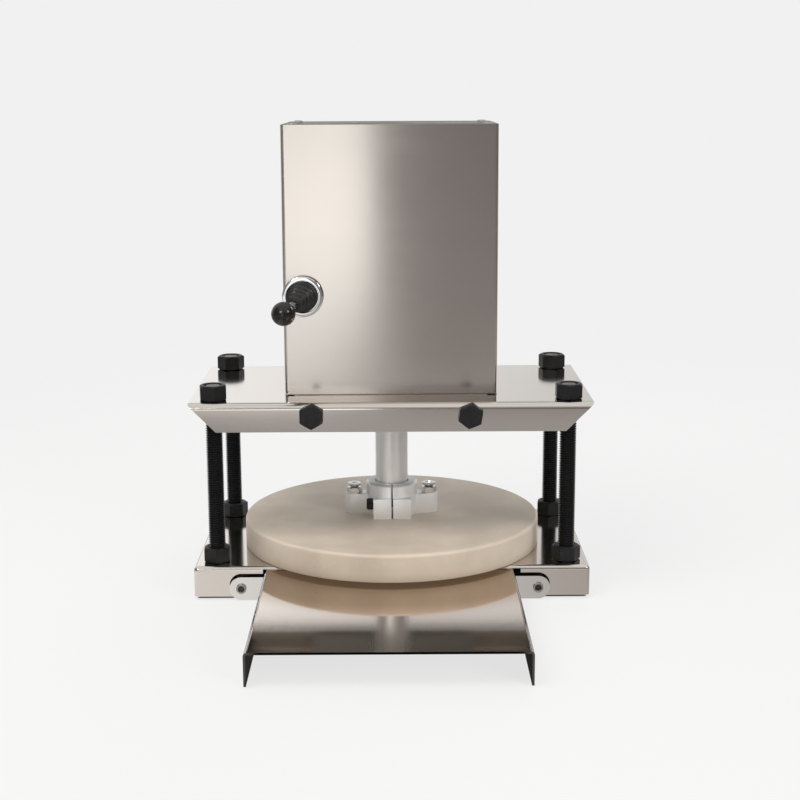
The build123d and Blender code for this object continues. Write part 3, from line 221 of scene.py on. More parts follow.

# %% [markdown]
# ## Floor
# The floor is as pale as the background but keeps a diffuse share, so the press still throws a soft shadow on
# it, and further off it melts into the background; under the base the camera sees a painted shadow. Polished
# steel also needs something to mirror, so reflections see another floor: three strips from near to far, each
# with one tone on the left and another on the right, with a light patch in front of the ram, a darker far left,
# and a painted black shadow under the base and the tray.

# %% Floor
FLOOR_SHARE = 0.16  # part of the floor's paleness that shadows can take away
LAMPS_ON_FLOOR = 0.9  # how brightly the lamps light that part
FLOOR_SIZE, FLOOR_DROP = 6.0, 0.2 * MM
FLOOR_FADE = (0.45, 1.1)  # metres from the press over which the floor melts into the background
BOUNCE = 0.7  # share of the light that the floor throws back at the press
MIRRORED_FLOOR = {  # left tone, right tone and where one runs into the other, from near to far
    "near": ((1.0, 0.985, 0.97), (0.42, 0.40, 0.385), (-0.3, 0.3)),
    "middle": ((0.35, 0.335, 0.325), (0.44, 0.43, 0.43), (-0.25, -0.05)),
    "far": ((1.0, 1.0, 1.0), (0.28, 0.265, 0.265), (-0.14, 0.05)),
}
MIDDLE_START, FAR_START = (-0.24, -0.14), (-0.675, -0.645)  # metres in front of the press
# Painted shadow: the floor is painted dark in these rectangles, under the base for the camera and under the
# base and tray in reflections.
PAINTED_SHADOW_UNDER_BASE = (0, 0.06475, 0), (0.1405, 0.07125), 0.002  # middle, half size and soft edge
PAINTED_SHADOW_UNDER_TRAY = (-0.0015, -0.155, 0), (0.0895, 0.145), 0.002
PAINTED_SHADOW_DARKNESS = 0.97
RAM_PATCH, RAM_TONE = ((0.09, -0.26, 0), (0.28, 0.15), 0.09), (0.92, 0.90, 0.88)  # what the ram mirrors
FAR_LEFT, FAR_LEFT_TONE = (-0.26, -0.20), (0.45, 0.44, 0.43)  # what its left side mirrors


def added(name, add, **settings):
    """Adds a primitive or a lamp with nothing else selected, and names it."""
    bpy.ops.object.select_all(action="DESELECT")
    add(**settings)
    bpy.context.object.name = name
    return bpy.context.object


floor = added("floor", bpy.ops.mesh.primitive_plane_add, size=FLOOR_SIZE, location=(0, 0, -FLOOR_DROP))
floor_paint, ground = new_material("pale_floor")
floor_spot = ground.node("TexCoord", output="Object")
across, ahead = along(floor_spot, 0), along(floor_spot, 1)
painted_shadow_base, painted_shadow_tray = inside(floor_spot, *PAINTED_SHADOW_UNDER_BASE), inside(floor_spot, *PAINTED_SHADOW_UNDER_TRAY)

matt = ground.node("BsdfDiffuse", inputs={"Color": (FLOOR_SHARE,) * 3 + (1,)})
own_level = BACKDROP - LAMPS_ON_FLOOR * FLOOR_SHARE
# Painted shadow: the floor's own glow is taken out under the base.
glow = ground.node("Emission", inputs={"Color": own_level * (1 - painted_shadow_base)})
near_floor = ground.node("AddShader", inputs={0: matt, 1: glow})
distance = floor_spot.vector("LENGTH", floor_spot, output="Value")
nothing = ground.node("BsdfTransparent")
shown = ground.node("MixShader", inputs={0: step(distance, *FLOOR_FADE), 1: near_floor, 2: nothing})

tones = {name: between(step(across, *split), left, right)
         for name, (left, right, split) in MIRRORED_FLOOR.items()}
near_tone = blended(step(across, *FAR_LEFT), (*FAR_LEFT_TONE, 1), tones["near"])
front_tone = blended(step(ahead, *MIDDLE_START), tones["middle"], near_tone)
patched = blended(inside(floor_spot, *RAM_PATCH), front_tone, (*RAM_TONE, 1))
mirrored = blended(step(ahead, *FAR_START), tones["far"], patched)
# Painted shadow: what the steel mirrors is almost black under the base and the tray.
outside_painted_shadow = 1 - PAINTED_SHADOW_DARKNESS * painted_shadow_base.math("MAXIMUM", painted_shadow_base, painted_shadow_tray)
mirror_floor = ground.node("Emission", inputs={"Color": dimmed(mirrored, outside_painted_shadow)})

bounce = ground.node("BsdfDiffuse", inputs={"Color": (BOUNCE,) * 3 + (1,)})
lit = ground.node("MixShader", inputs={0: seen(ground), 1: bounce, 2: shown})
surface = ground.node("MixShader", inputs={0: ray(ground, "Glossy"), 1: lit, 2: mirror_floor})
link_surface(surface)
floor.data.materials.append(floor_paint)
print("floor", FLOOR_SIZE, "m, mirrored strips", list(MIRRORED_FLOOR))

# %% [markdown]
# ## Lamps and cards
# Bright steel shows little of its own: what it shows is the room. A photographer therefore puts a large soft
# box where the steel should be light and cards where it should be darker. The lamps here light the matt
# pieces. The cards are seen in reflections only, so they shape the steel without changing how the press is
# lit: a soft box and a grey card for the front panel, walls beside and before the press, which stop short of
# its back so that side views stay bright, and two small, high strobes for glints on threads and screws.

# %% Lamps and cards
WHITE, ROSE_GREY = (1.0, 1.0, 1.0), (1.0, 0.93, 0.95)
LAMPS = {  # place, aim, side in metres, power in watts, colour
    "key_lamp": ((-0.60, -0.45, 1.15), (0, 0, 0.10), 0.8, 10.8, (1.0, 0.97, 0.93)),
    "fill_lamp": ((1.05, -1.20, 0.55), (0, 0, 0.1), 0.7, 12.5, (1.0, 0.97, 0.94)),
    "rear_lamp": ((0.5, 1.5, 1.2), (0, 0, 0.2), 0.9, 10.0, WHITE),
}
CARDS = {  # place, aim, width, height, level at left and right, share lost from foot to head, colour
    "left_soft_box": ((-0.279, -1.62, 0.32), (-0.279, 0, 0.32), 0.482, 0.64, (1.02, 1.88), 0.54, WHITE),
    "grey_card": ((0.134, -1.65, 0.21), (0.134, 0, 0.21), 0.34, 0.42, (0.36, 0.23), 0.44, ROSE_GREY),
    "grey_card_high": ((0.134, -1.65, 0.53), (0.134, 0, 0.53), 0.34, 0.22, (0.38, 0.30), 0.0, ROSE_GREY),
    "front_wall": ((0, -1.75, 0.9), (0, 0, 0.9), 5.0, 1.9, (0.22, 0.22), 1.0, ROSE_GREY),
    "high_card": ((0, -1.70, 1.31), (0, 0, 1.31), 3.0, 0.98, (0.58, 0.54), 0.0, WHITE),
    "left_wall": ((-1.35, -0.65, 0.9), (0, -0.65, 0.9), 2.1, 1.9, (0.22, 0.22), 0.0, (1.0, 0.98, 0.92)),
    "right_wall": ((1.35, -0.65, 0.9), (0, -0.65, 0.9), 2.1, 1.9, (0.14, 0.14), 0.0, (1.0, 0.95, 0.92)),
    "back_card": ((0, 2.5, 0.68), (0, 0, 0.68), 2.2, 0.32, (0.48, 1.34), 0.0, WHITE),
    "back_card_high_left": ((-0.5, 2.5, 0.915), (-0.5, 0, 0.915), 1.0, 0.15, (0.80, 1.72), 0.0, WHITE),
    "back_card_high_right": ((0.5, 2.5, 0.915), (0.5, 0, 0.915), 1.0, 0.15, (0.84, 0.80), 0.0, WHITE),
    "back_flag": ((0, 2.5, 1.24), (0, 0, 1.24), 2.0, 0.50, (0.12, 0.12), 0.0, WHITE),
    "top_flag": ((0, 0.20, 0.402), (0, 0, 0.402), 0.30, 0.13, (0.22, 0.22), 0.0, (0.98, 1.0, 0.92)),
    "left_strobe": ((-0.62, -1.45, 0.94), (-0.08, 0, 0.20), 0.40, 0.44, (11.0, 11.0), 0.0, WHITE),
    "right_strobe": ((1.15, -0.85, 0.98), (-0.08, 0, 0.20), 0.34, 0.42, (11.0, 11.0), 0.0, WHITE),
}


def aimed(place, target):
    """The turn that points an object's -Z from its place to a target."""
    return (Vector(target) - Vector(place)).to_track_quat("-Z", "Y").to_euler()


for name, (place, target, side, power, colour) in LAMPS.items():
    lamp = added(name, bpy.ops.object.light_add, type="AREA", location=place, rotation=aimed(place, target))
    lamp.visible_camera = lamp.visible_glossy = False
    lamp.data.size, lamp.data.energy, lamp.data.color = side, power, colour

for name, (place, target, width, height, (left, right), fade, colour) in CARDS.items():
    turn = aimed(place, target)
    card = added(name, bpy.ops.mesh.primitive_plane_add, size=1, location=place, rotation=turn)
    card.scale = (width, height, 1)
    card.visible_camera = card.visible_diffuse = card.visible_shadow = card.visible_transmission = False
    paper, page = new_material(name)
    card_spot = page.node("TexCoord", output="Object")
    from_left, from_foot = along(card_spot, 0) + 0.5, along(card_spot, 1) + 0.5
    card_level = (left + (right - left) * from_left) * (1 - fade * from_foot)
    link_surface(page.node("Emission", inputs={"Color": dimmed(colour, card_level)}))
    card.data.materials.append(paper)
print("lamps", list(LAMPS), "cards", list(CARDS))

# %% [markdown]
# ## Finishes
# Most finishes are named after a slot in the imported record, and a few belong to one piece. A finish could be
# a photograph of metal wrapped round each piece, but then every piece needs its own unwrapping. Instead it
# starts from a Principled shader whose fixed numbers are set on its sockets, and what changes over the
# surface, such as grain, smudges and wear, reads Object coordinates in metres, so it keeps its real size.

# %% Tools for finishes
FINISHES = {}


def new_finish(name, **fixed):
    """A material with its fixed sockets set; returns the Object coordinates to build on."""
    FINISHES[name], start = new_material(name)
    shader = start.tree.nodes["Principled BSDF"]
    for socket, value in fixed.items():
        shader.inputs[socket.replace("_", " ")].default_value = value
    return start.node("TexCoord", output="Object")


def feed(place, **sockets):
    """Links values that change over the surface to the finish's shader."""
    shader = place.tree.nodes["Principled BSDF"]
    for socket, value in sockets.items():
        place.tree.links.new(value.socket, shader.inputs[socket.replace("_", " ")])


def facing(place):
    """The direction that the surface faces."""
    return place.node("TexCoord", output="Normal")


def noise(place, scale, stretch=(1, 1, 1), detail=2.0):
    """Noise from 0 to 1 with so many swells in a metre, stretched along some axes."""
    stretched = place.vector("MULTIPLY", place, stretch)
    return place.node("TexNoise", inputs={"Vector": stretched, "Scale": scale, "Detail": detail})


def bump(height, depth):
    """A small relief of so many metres, as a normal for the shader."""
    return height.node("Bump", inputs={"Strength": 1.0, "Distance": depth, "Height": height})


print("finish tools ready")

# %% [markdown]
# ### Stainless sheet
# The base and the top plate are bright rolled sheet, close to a mirror, with a faint grain across the press.
# The tray is brushed from front to back, so it smears reflections sideways. Painted shade makes it darker and
# browner near the disc, darker on its side bends and nearly black along its front edge. The housing is a satin
# sheet that smears reflections up and down. One recipe makes all three, since fine lines, wide smudges from
# handling and small scuffs are on each. Undersides get painted shade, a darker colour, and more roughness, and
# the hollow under the top plate gets part of that painted shade.

# %% Stainless sheet
STEEL_LIGHT, STEEL_DARK = (0.74, 0.69, 0.635), (0.62, 0.57, 0.52)
TRAY_LIGHT, TRAY_DARK = (0.80, 0.785, 0.755), (0.67, 0.65, 0.622)
# Painted shade: undersides and the hollow under the top plate get this darker colour, and undersides also get
# more roughness.
UNDERSIDE_SHADE, UNDERSIDE_ROUGHNESS = (0.38, 0.37, 0.355), 0.4
GRAIN_PER_M, GRAIN_STRETCH = 700.0, (0.02, 1, 1)
BRUSH_PER_M, BRUSH_STRETCH = 4000.0, (1, 0.01, 0.01)
SMUDGE_PER_M, SCUFF_PER_M = 9.0, 60.0
HOLLOW_INSET, HOLLOW_EDGE, HOLLOW_SHADE_SHARE = 1.0 * MM, 0.3 * MM, 0.3
DISC_AXIS = sum(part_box("press_disc"), Vector()) / 2
DISC_SHADE_FAINT, DISC_SHADE_DEEP = (0.925, 0.847, 0.788), (0.666, 0.542, 0.433)  # what the painted shade near the disc leaves of the light
DISC_SHADE_REACH = 145 * MM, 175 * MM  # from the disc's axis, where the painted shade thins out
# Painted shade: a darker tint for the tray's side bends and a nearly black tone for its front edge.
BEND_SHADE, FRONT_EDGE_SHADE = (0.45, 0.44, 0.43), (0.08, 0.077, 0.072)
TRAY_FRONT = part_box("front_tray")[0].y
# Painted shade: the band along the tray's front edge that is painted nearly black.
FRONT_EDGE_SHADE_BAND = TRAY_FRONT + 0.05 * MM, TRAY_FRONT + 0.25 * MM
FACES_UP, BEND_START, BEND_END = (0.9, 0.99), (0.15, 0.4), (0.9, 0.98)  # shares of a normal
FACES_DOWN, FACES_STRAIGHT_DOWN = (0.5, 0.9), (0.8, 0.95)


def under_plate(place):
    """1 in the hollow between the skirts of the top plate."""
    low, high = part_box("top_plate")
    half = [(top - foot) / 2 - HOLLOW_INSET for foot, top in zip(low, high)]
    return inside(place, (low + high) / 2, half, HOLLOW_EDGE)


def off_axis(place, axis):
    """Distance from an upright axis."""
    level_only = place.vector("MULTIPLY", place.vector("SUBTRACT", place, axis), (1, 1, 0))
    return place.vector("LENGTH", level_only, output="Value")


def tinted(share, colour, tint):
    """A colour with a share of it seen through a tint."""
    settings = {"data_type": "RGBA", "blend_type": "MULTIPLY"}
    return colour.node("Mix", settings, {0: share, 6: colour, 7: tint}, 2)


def tray_colour(place, colour):
    """Painted shade over the colour of the tray's sheet: on its top near the disc, on its side bends and along
    its front edge.
    """
    # Painted shade on the tray's top, darker and browner the nearer it is to the disc.
    disc_shade = between(step(off_axis(place, DISC_AXIS), *DISC_SHADE_REACH), DISC_SHADE_DEEP, DISC_SHADE_FAINT)
    shaded_top = tinted(step(along(facing(place), 2), *FACES_UP), colour, disc_shade)
    # Painted shade on the tray's side bends; stretched here is the share of a normal that turns sideways.
    sideways = along(facing(place), 0)
    sideways = sideways.math("ABSOLUTE", sideways)
    stretched = step(sideways, *BEND_START) * (1 - step(sideways, *BEND_END))
    shaded_bends = tinted(stretched, shaded_top, (*BEND_SHADE, 1))
    # Painted shade: nearly black along the tray's front edge.
    return blended(step(along(place, 1), *FRONT_EDGE_SHADE_BAND), (*FRONT_EDGE_SHADE, 1), shaded_bends)


def stainless(name, roughness, depth, light=STEEL_LIGHT, dark=STEEL_DARK, brushed=False,
              underside=FACES_DOWN, **fixed):
    """Bare sheet with lines, smudges and scuffs, and painted shade with more roughness where it faces down."""
    place = new_finish(name, Metallic=1.0, **fixed)
    lines = noise(place, GRAIN_PER_M, GRAIN_STRETCH, 3.0)
    smudge = noise(place, SMUDGE_PER_M, detail=3.0)
    scuff = noise(place, SCUFF_PER_M, (1, 1, 2))
    # Painted shade where the sheet faces down and, more weakly, in the hollow under the top plate.
    below = step(0 - along(facing(place), 2), *underside)
    painted_shade = below.math("MAXIMUM", below, HOLLOW_SHADE_SHARE * under_plate(place))
    polished = between(0.25 + 0.4 * smudge + 0.2 * lines + 0.1 * scuff, dark, light)
    colour, relief = blended(painted_shade, polished, (*UNDERSIDE_SHADE, 1)), lines
    if brushed:
        colour, relief = tray_colour(place, colour), noise(place, BRUSH_PER_M, BRUSH_STRETCH)
    polish = roughness * (0.7 + 0.35 * smudge + 0.15 * lines + 0.1 * scuff)
    feed(place, Base_Color=colour, Roughness=polish + UNDERSIDE_ROUGHNESS * below, Normal=bump(relief, depth))


stainless("stainless", 0.11, 0.0008 * MM)
stainless("brushed_tray", 0.055, 0.014 * MM, TRAY_LIGHT, TRAY_DARK, brushed=True)
stainless("satin_housing", 0.16, 0.0010 * MM, underside=FACES_STRAIGHT_DOWN,
          Anisotropic=0.8, Anisotropic_Rotation=0.25)
print("stainless finishes", list(FINISHES))

# %% [markdown]
# ### Other metals
# The black nuts and posts have a dull oxide skin with tiny bright specks, which are partly rubbed wear and
# partly painted highlight, and the posts' sawn ends are bare. The hub and ram are turned aluminium, so their
# tool marks run round their axis, and the hub is painted darker in the countersink where the ram enters. The
# joystick's ring is polished in front, and its side is painted darker as shade. Plated screws, bronze, steel
# and castings differ in colour, roughness and the size of their mottling, so one recipe with those numbers
# serves them all.

# %% Other metals
OXIDE_MOTTLE_PER_M, OXIDE_SPECKS_PER_M, OXIDE_PATCHES_PER_M, OXIDE_RELIEF = 260.0, 900.0, 90.0, 0.02 * MM
# Light specks: partly rubbed wear and partly painted highlight on the oxide.
RUBBED_GLINT_STEEL, RUBBED_GLINT_SHARE = (0.32, 0.32, 0.31), 0.8
SAWN_END, SAWN_STEEL = (0.95, 0.99), (0.13, 0.13, 0.125)
# A darker tone painted in the hub's countersink where the ram enters.
COUNTERSINK_TONE, COUNTERSINK_TONE_SHARE = (0.05, 0.045, 0.04), 0.9
# Painted shade: the ring's side gets this darker tone.
RING_FACE, RING_SIDE_SHADE = (0.25, 0.75), (0.22, 0.195, 0.18)
ROUND_THE_SHAFT = (0.15, 0.15, 1)
HUB_BORE_R = (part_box("press_shaft")[1].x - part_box("press_shaft")[0].x) / 2
COUNTERSUNK = HUB_BORE_R + 0.3 * MM, HUB_BORE_R + 1.1 * MM


def black_oxide(name, dark, light, roughness, sawn=None):
    """A dark skin on steel that mirrors a little, with light specks that are partly rubbed wear and partly
    painted highlight, and, where asked, bare sawn tops.
    """
    place = new_finish(name, Metallic=0.5, Specular_IOR_Level=0.4, Specular_Tint=(0.6, 0.6, 0.6, 1))
    mottle = noise(place, OXIDE_MOTTLE_PER_M, detail=3.0)
    specks, patches = noise(place, OXIDE_SPECKS_PER_M, detail=1.0), noise(place, OXIDE_PATCHES_PER_M)
    # Specks of rubbed wear that are also a painted highlight.
    rubbed_glints = step(specks, 0.70, 0.78) * step(patches, 0.5, 0.7)
    colour = blended(RUBBED_GLINT_SHARE * rubbed_glints, between(mottle, dark, light), (*RUBBED_GLINT_STEEL, 1))
    if sawn:
        colour = blended(step(along(facing(place), 2), *SAWN_END), colour, (*sawn, 1))
    feed(place, Base_Color=colour, Roughness=roughness + 0.2 * mottle - 0.1 * rubbed_glints,
         Normal=bump(mottle, OXIDE_RELIEF))


def metal(name, dark, light, roughness, mottle_per_m, stretch=(1, 1, 1), relief=0.002 * MM, metallic=1.0,
          darkening=None, darkening_tone=COUNTERSINK_TONE):
    """Bare or painted metal: two tones, an uneven polish, a faint relief and, where asked, a darker tone under
    a mask.
    """
    place = new_finish(name, Metallic=metallic)
    fine = noise(place, mottle_per_m, stretch, 3.0)
    broad = noise(place, mottle_per_m / 12, detail=2.0)
    colour = between(0.6 * fine + 0.4 * broad, dark, light)
    if darkening:
        colour = blended(darkening(place), colour, (*darkening_tone, 1))
    feed(place, Base_Color=colour, Roughness=roughness * (0.75 + 0.3 * fine + 0.2 * broad),
         Normal=bump(fine, relief))


def hub_darkening(place):
    """Nearly 1 in the countersink where the ram enters the hub."""
    return COUNTERSINK_TONE_SHARE * (1 - step(off_axis(place, DISC_AXIS), *COUNTERSUNK))


def ring_side(place):
    """1 on the side of the joystick's ring, where shade is painted, 0 on its polished face."""
    return 1 - step(0 - along(facing(place), 1), *RING_FACE)


black_oxide("black_oxide", (0.016, 0.016, 0.0165), (0.030, 0.030, 0.031), 0.24)
black_oxide("black_thread", (0.012, 0.012, 0.0125), (0.024, 0.024, 0.025), 0.20, SAWN_STEEL)
metal("satin_aluminium", (0.80, 0.80, 0.79), (0.92, 0.92, 0.91), 0.42, 900.0, ROUND_THE_SHAFT, metallic=0.82)
metal("darkened_aluminium", (0.79, 0.79, 0.78), (0.91, 0.91, 0.90), 0.40, 900.0, ROUND_THE_SHAFT, metallic=0.62,
      darkening=hub_darkening)
# Painted shade: the crosshead bar is this dark to stand in for the shade under the top plate.
metal("shade_dark_steel", (0.135, 0.133, 0.128), (0.21, 0.207, 0.20), 0.55, 300.0)
metal("bright_zinc", (0.60, 0.60, 0.58), (0.78, 0.78, 0.77), 0.22, 400.0)
# Painted shade on the side of the joystick's ring.
metal("chrome_ring", (0.80, 0.80, 0.80), (0.88, 0.88, 0.87), 0.10, 300.0, relief=0.0005 * MM,
      darkening=ring_side, darkening_tone=RING_SIDE_SHADE)
metal("bronze", (0.48, 0.30, 0.12), (0.66, 0.44, 0.20), 0.34, 600.0, ROUND_THE_SHAFT)
metal("plain_steel", (0.46, 0.46, 0.46), (0.62, 0.61, 0.60), 0.28, 800.0, ROUND_THE_SHAFT)
metal("zinc_sheet", (0.50, 0.52, 0.54), (0.70, 0.71, 0.72), 0.38, 120.0)
metal("cast_aluminium", (0.44, 0.44, 0.44), (0.58, 0.58, 0.57), 0.48, 500.0, relief=0.05 * MM)
metal("motor_paint", (0.07, 0.07, 0.08), (0.12, 0.12, 0.13), 0.40, 300.0, relief=0.02 * MM, metallic=0.0)
print("metal finishes", len(FINISHES))

# %% [markdown]
# ### Nylon, rubber and plastics
# The disc is turned from a cream nylon sheet: matt and slightly waxy, with soft clouds, long scratches, a few
# dark flecks and the ghost of turning rings, and it gets darker and browner towards its foot.
# Light goes a few millimetres into nylon, which subsurface scattering shows. A weak light of the underside's
# own stands in for what seeps all the way through, so the gap over the tray doesn't go black. Rubber is dull
# and a little dusty, and the ball of the joystick is moulded plastic with a deep gloss.

# %% Nylon, rubber and plastics
NYLON_DARK, NYLON_LIGHT = (0.530, 0.457, 0.376), (0.632, 0.553, 0.460)
FOOT_BROWN, FLECK = (0.480, 0.395, 0.305), (0.16, 0.12, 0.09)
FOOT_DARKENING_RISE = (0.0225, 0.0315)  # heights between which the disc's browned foot clears up
SEEPED_LIGHT = (0.13, 0.105, 0.080)  # what comes through the nylon to its underside
CLOUDS_PER_M, SCRATCHES_PER_M, SCRATCHED_SPOTS_PER_M, FLECKS_PER_M = 22.0, 150.0, 40.0, 420.0
SCRATCH_STRETCH, TURNING_PITCH, NYLON_RELIEF = (1, 0.05, 1), 1.6 * MM, 0.006 * MM
DUST_PER_M = 70.0


def nylon():
    """Cream nylon with clouds, scratches, flecks, turning rings and a foot that is darker and browner."""
    place = new_finish("nylon", Specular_IOR_Level=0.4, Subsurface_Weight=0.4, Subsurface_Scale=6 * MM,
                       Subsurface_Radius=(1.0, 0.85, 0.65), Emission_Strength=1.0)
    reach = off_axis(place, DISC_AXIS)
    rings = reach.math("SINE", reach * (2 * math.pi / TURNING_PITCH))
    cloud = noise(place, CLOUDS_PER_M, detail=5.0)
    scratched_spot = step(noise(place, SCRATCHED_SPOTS_PER_M), 0.45, 0.6)
    scratch = step(noise(place, SCRATCHES_PER_M, SCRATCH_STRETCH), 0.60, 0.70) * scratched_spot
    fleck = step(noise(place, FLECKS_PER_M, detail=1.0), 0.76, 0.82)
    cream = between(step(cloud, 0.32, 0.68) + 0.25 * scratch, NYLON_DARK, NYLON_LIGHT)
    # Darker and browner towards the foot of the disc.
    darker_foot = blended(step(along(place, 2), *FOOT_DARKENING_RISE), (*FOOT_BROWN, 1), cream)
    seeped = between(step(0 - along(facing(place), 2), *FACES_DOWN), (0, 0, 0), SEEPED_LIGHT)
    feed(place, Base_Color=blended(0.35 * fleck, darker_foot, (*FLECK, 1)), Roughness=0.40 + 0.16 * cloud,
         Normal=bump(rings * 0.5 + cloud, NYLON_RELIEF), Emission_Color=seeped)


def plastic(name, dark, light, roughness, grain_per_m, relief, **fixed):
    """Moulded plastic or rubber: a fine skin with patches of dust or wear."""
    place = new_finish(name, **fixed)
    skin = noise(place, grain_per_m, detail=3.0)
    dust = noise(place, DUST_PER_M, detail=3.0)
    feed(place, Base_Color=between(dust, dark, light), Roughness=roughness * (0.8 + 0.25 * skin + 0.2 * dust),
         Normal=bump(skin, relief))


nylon()
plastic("black_rubber", (0.006, 0.006, 0.006), (0.014, 0.014, 0.014), 0.46, 1500.0, 0.008 * MM)
plastic("black_plastic", (0.004, 0.004, 0.004), (0.008, 0.008, 0.007), 0.20, 900.0, 0.001 * MM)
plastic("dark_plastic", (0.022, 0.022, 0.023), (0.036, 0.036, 0.037), 0.45, 1800.0, 0.03 * MM)
plastic("board_green", (0.012, 0.14, 0.055), (0.025, 0.22, 0.09), 0.35, 700.0, 0.01 * MM)
plastic("relay_blue", (0.025, 0.10, 0.40), (0.035, 0.13, 0.48), 0.30, 900.0, 0.01 * MM)
print("all finishes", sorted(FINISHES))

# %% [markdown]
# ## Finishes on the CAD nodes
# Sheet metal, the ram and everything inside the housing keep their CAD shape, which is right already. The
# imported record names each node's slot, so a loop hands out the finishes. Only the housing's satin sheets, the
# brushed tray and the rough bar of the crosshead have a finish of their own; the crosshead's is dark as painted
# shade under the top plate.

# %% Dress the CAD nodes
OWN_FINISH = {"housing_wrap": "satin_housing", "rear_cover": "satin_housing", "top_cover": "satin_housing",
              "crosshead_block": "shade_dark_steel", "front_tray": "brushed_tray"}

for subpart in frame["record"]["subparts"]:
    node = frame["nodes"][subpart["node"]]
    finish_name = OWN_FINISH.get(node.name, subpart["material_slot"])
    node.data.materials.clear()
    node.data.materials.append(FINISHES[finish_name])

# %% [markdown]
# ## A lathe
# Most small pieces of a machine are turned. Such a piece could start as a cylinder that is extruded and
# scaled step by step. Here it starts as one point, which is extruded into an outline and spun round Z, as on
# a lathe, so every step and bevel of the outline is a size that can be read.


# %% A lathe
def only(piece):
    """Leaves one piece selected and active."""
    bpy.ops.object.select_all(action="DESELECT")
    piece.select_set(True)
    bpy.context.view_layer.objects.active = piece


@contextmanager
def editing(piece, test=None):
    """Edit mode on one piece, with all of it selected or the vertices that pass a test."""
    only(piece)
    bpy.ops.object.mode_set(mode="EDIT")
    bpy.ops.mesh.select_all(action="DESELECT" if test else "SELECT")
    if test:
        bpy.ops.object.mode_set(mode="OBJECT")
        for vertex in piece.data.vertices:
            vertex.select = test(vertex)
        bpy.ops.object.mode_set(mode="EDIT")
    yield
    bpy.ops.object.mode_set(mode="OBJECT")


def drawn(name, outline):
    """A line through (radius, height) points: a plane merged to one point, then extruded to each in turn."""
    piece = added(name, bpy.ops.mesh.primitive_plane_add, size=MM)
    with editing(piece):
        bpy.ops.mesh.merge(type="CENTER")
        bpy.ops.transform.translate(value=(outline[0][0], 0, outline[0][1]))
        for (r0, z0), (r1, z1) in zip(outline, outline[1:]):
            bpy.ops.mesh.extrude_region_move(TRANSFORM_OT_translate={"value": (r1 - r0, 0, z1 - z0)})
    return piece


def closed_up(piece):
    """Merges seams and poles and points the faces outwards."""
    with editing(piece):
        bpy.ops.mesh.remove_doubles(threshold=MM / 500)
        bpy.ops.mesh.normals_make_consistent(inside=False)
    return piece


def turned(name, outline, steps=64):
    """A lathe piece round Z."""
    piece = drawn(name, outline)
    with editing(piece):
        bpy.ops.mesh.spin(steps=steps, angle=2 * math.pi, center=(0, 0, 0), axis=(0, 0, 1))
    return closed_up(piece)


print("lathe ready")

# %% [markdown]
# ## Trimming, placing and finishing
# Other shapes are trimmed from turned or hexagonal stock by Boolean modifiers, and a Bevel modifier breaks
# their edges. Each piece is modelled once at the origin, and its place goes into its mesh last, because a
# finish on Object coordinates has to stay at its real place. A finished piece gets its shading and its finish,
# the CAD nodes that it stands for are hidden, and a rigid one also gets the body that it moves with.


# %% Trimming, placing and finishing
FACING = {"up": Matrix.Identity(4), "front": Matrix.Rotation(math.pi / 2, 4, "X"),
          "rear": Matrix.Rotation(-math.pi / 2, 4, "X")}


def cut(piece, tool, operation="DIFFERENCE"):
    """Trims a piece with a tool, or joins the tool to it, and puts the tool away."""
    only(piece)
    boolean = piece.modifiers.new("cut", "BOOLEAN")
    boolean.operation, boolean.object, boolean.solver = operation, tool, "EXACT"
    bpy.ops.object.modifier_apply(modifier=boolean.name)
    bpy.data.objects.remove(tool)


def softened(piece, width, segments=2, angle=40):
    """Rounds every edge that is sharper than the angle."""
    only(piece)
    bevel = piece.modifiers.new("soft", "BEVEL")
    bevel.width, bevel.segments, bevel.angle_limit = width, segments, math.radians(angle)
    bpy.ops.object.modifier_apply(modifier=bevel.name)


def put(piece, matrix):
    """Moves a piece to its place and keeps that place in its mesh."""
    only(piece)
    piece.matrix_world = matrix
    bpy.ops.object.transform_apply(location=True, rotation=True, scale=True)


def copies(master, places):
    """Copies of a master, each with its own mesh, at named places; the master itself is put away."""
    made = []
    for name, matrix in places.items():
        only(master)
        bpy.ops.object.duplicate()
        copy = bpy.context.object
        copy.name = name
        put(copy, matrix)
        made.append(copy)
    bpy.data.objects.remove(master)
    return made


def at(x, y, z, face="up", turn=0.0):
    """A place on the press, with Z up or out of its front or rear, and a turn about that in radians."""
    return Matrix.Translation((x, y, z)) @ FACING[face] @ Matrix.Rotation(turn, 4, "Z")


def dress(piece, slot, *nodes, sharp=30, finish=None):
    """Shading and finish of a piece, its own or its slot's, and the CAD nodes that it stands for."""
    only(piece)
    bpy.ops.object.shade_smooth_by_angle(angle=math.radians(sharp))
    piece.data.materials.clear()
    piece.data.materials.append(FINISHES[finish or slot])
    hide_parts(*nodes)
    print(piece.name, len(piece.data.polygons), "faces")


def settle(piece, body, slot, *nodes, **look):
    """The last step for a rigid piece: its look, and the body that it moves with."""
    dress(piece, slot, *nodes, **look)
    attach(piece, body)


print("bench ready")

# %% [markdown]
# ## Threaded posts
# The four posts are studding with a 1.75 mm metric thread, which shows as a fine saw edge against the pale
# background, so the thread is real geometry. A zigzag of one pitch goes through a Screw modifier; the helix
# is then cut square at both ends, capped, and trimmed by a bevelled envelope as a die-cut bar is.

# %% Threaded posts
POSTS = ("front_left", "front_right", "rear_left", "rear_right")
PITCH, CREST_R, ROOT_R = 1.75 * MM, 5.97 * MM, 4.92 * MM
TOOTH = ((0, 0), (0.346, 1), (0.471, 1), (0.817, 0), (1, 0))  # share of the pitch, share of the depth
THREAD_STEPS = 24
POST_BEVEL, POST_SPARE = 1.0 * MM, 0.1 * MM
POST_TURNS = (0.0, 130.0, 220.0, 75.0)


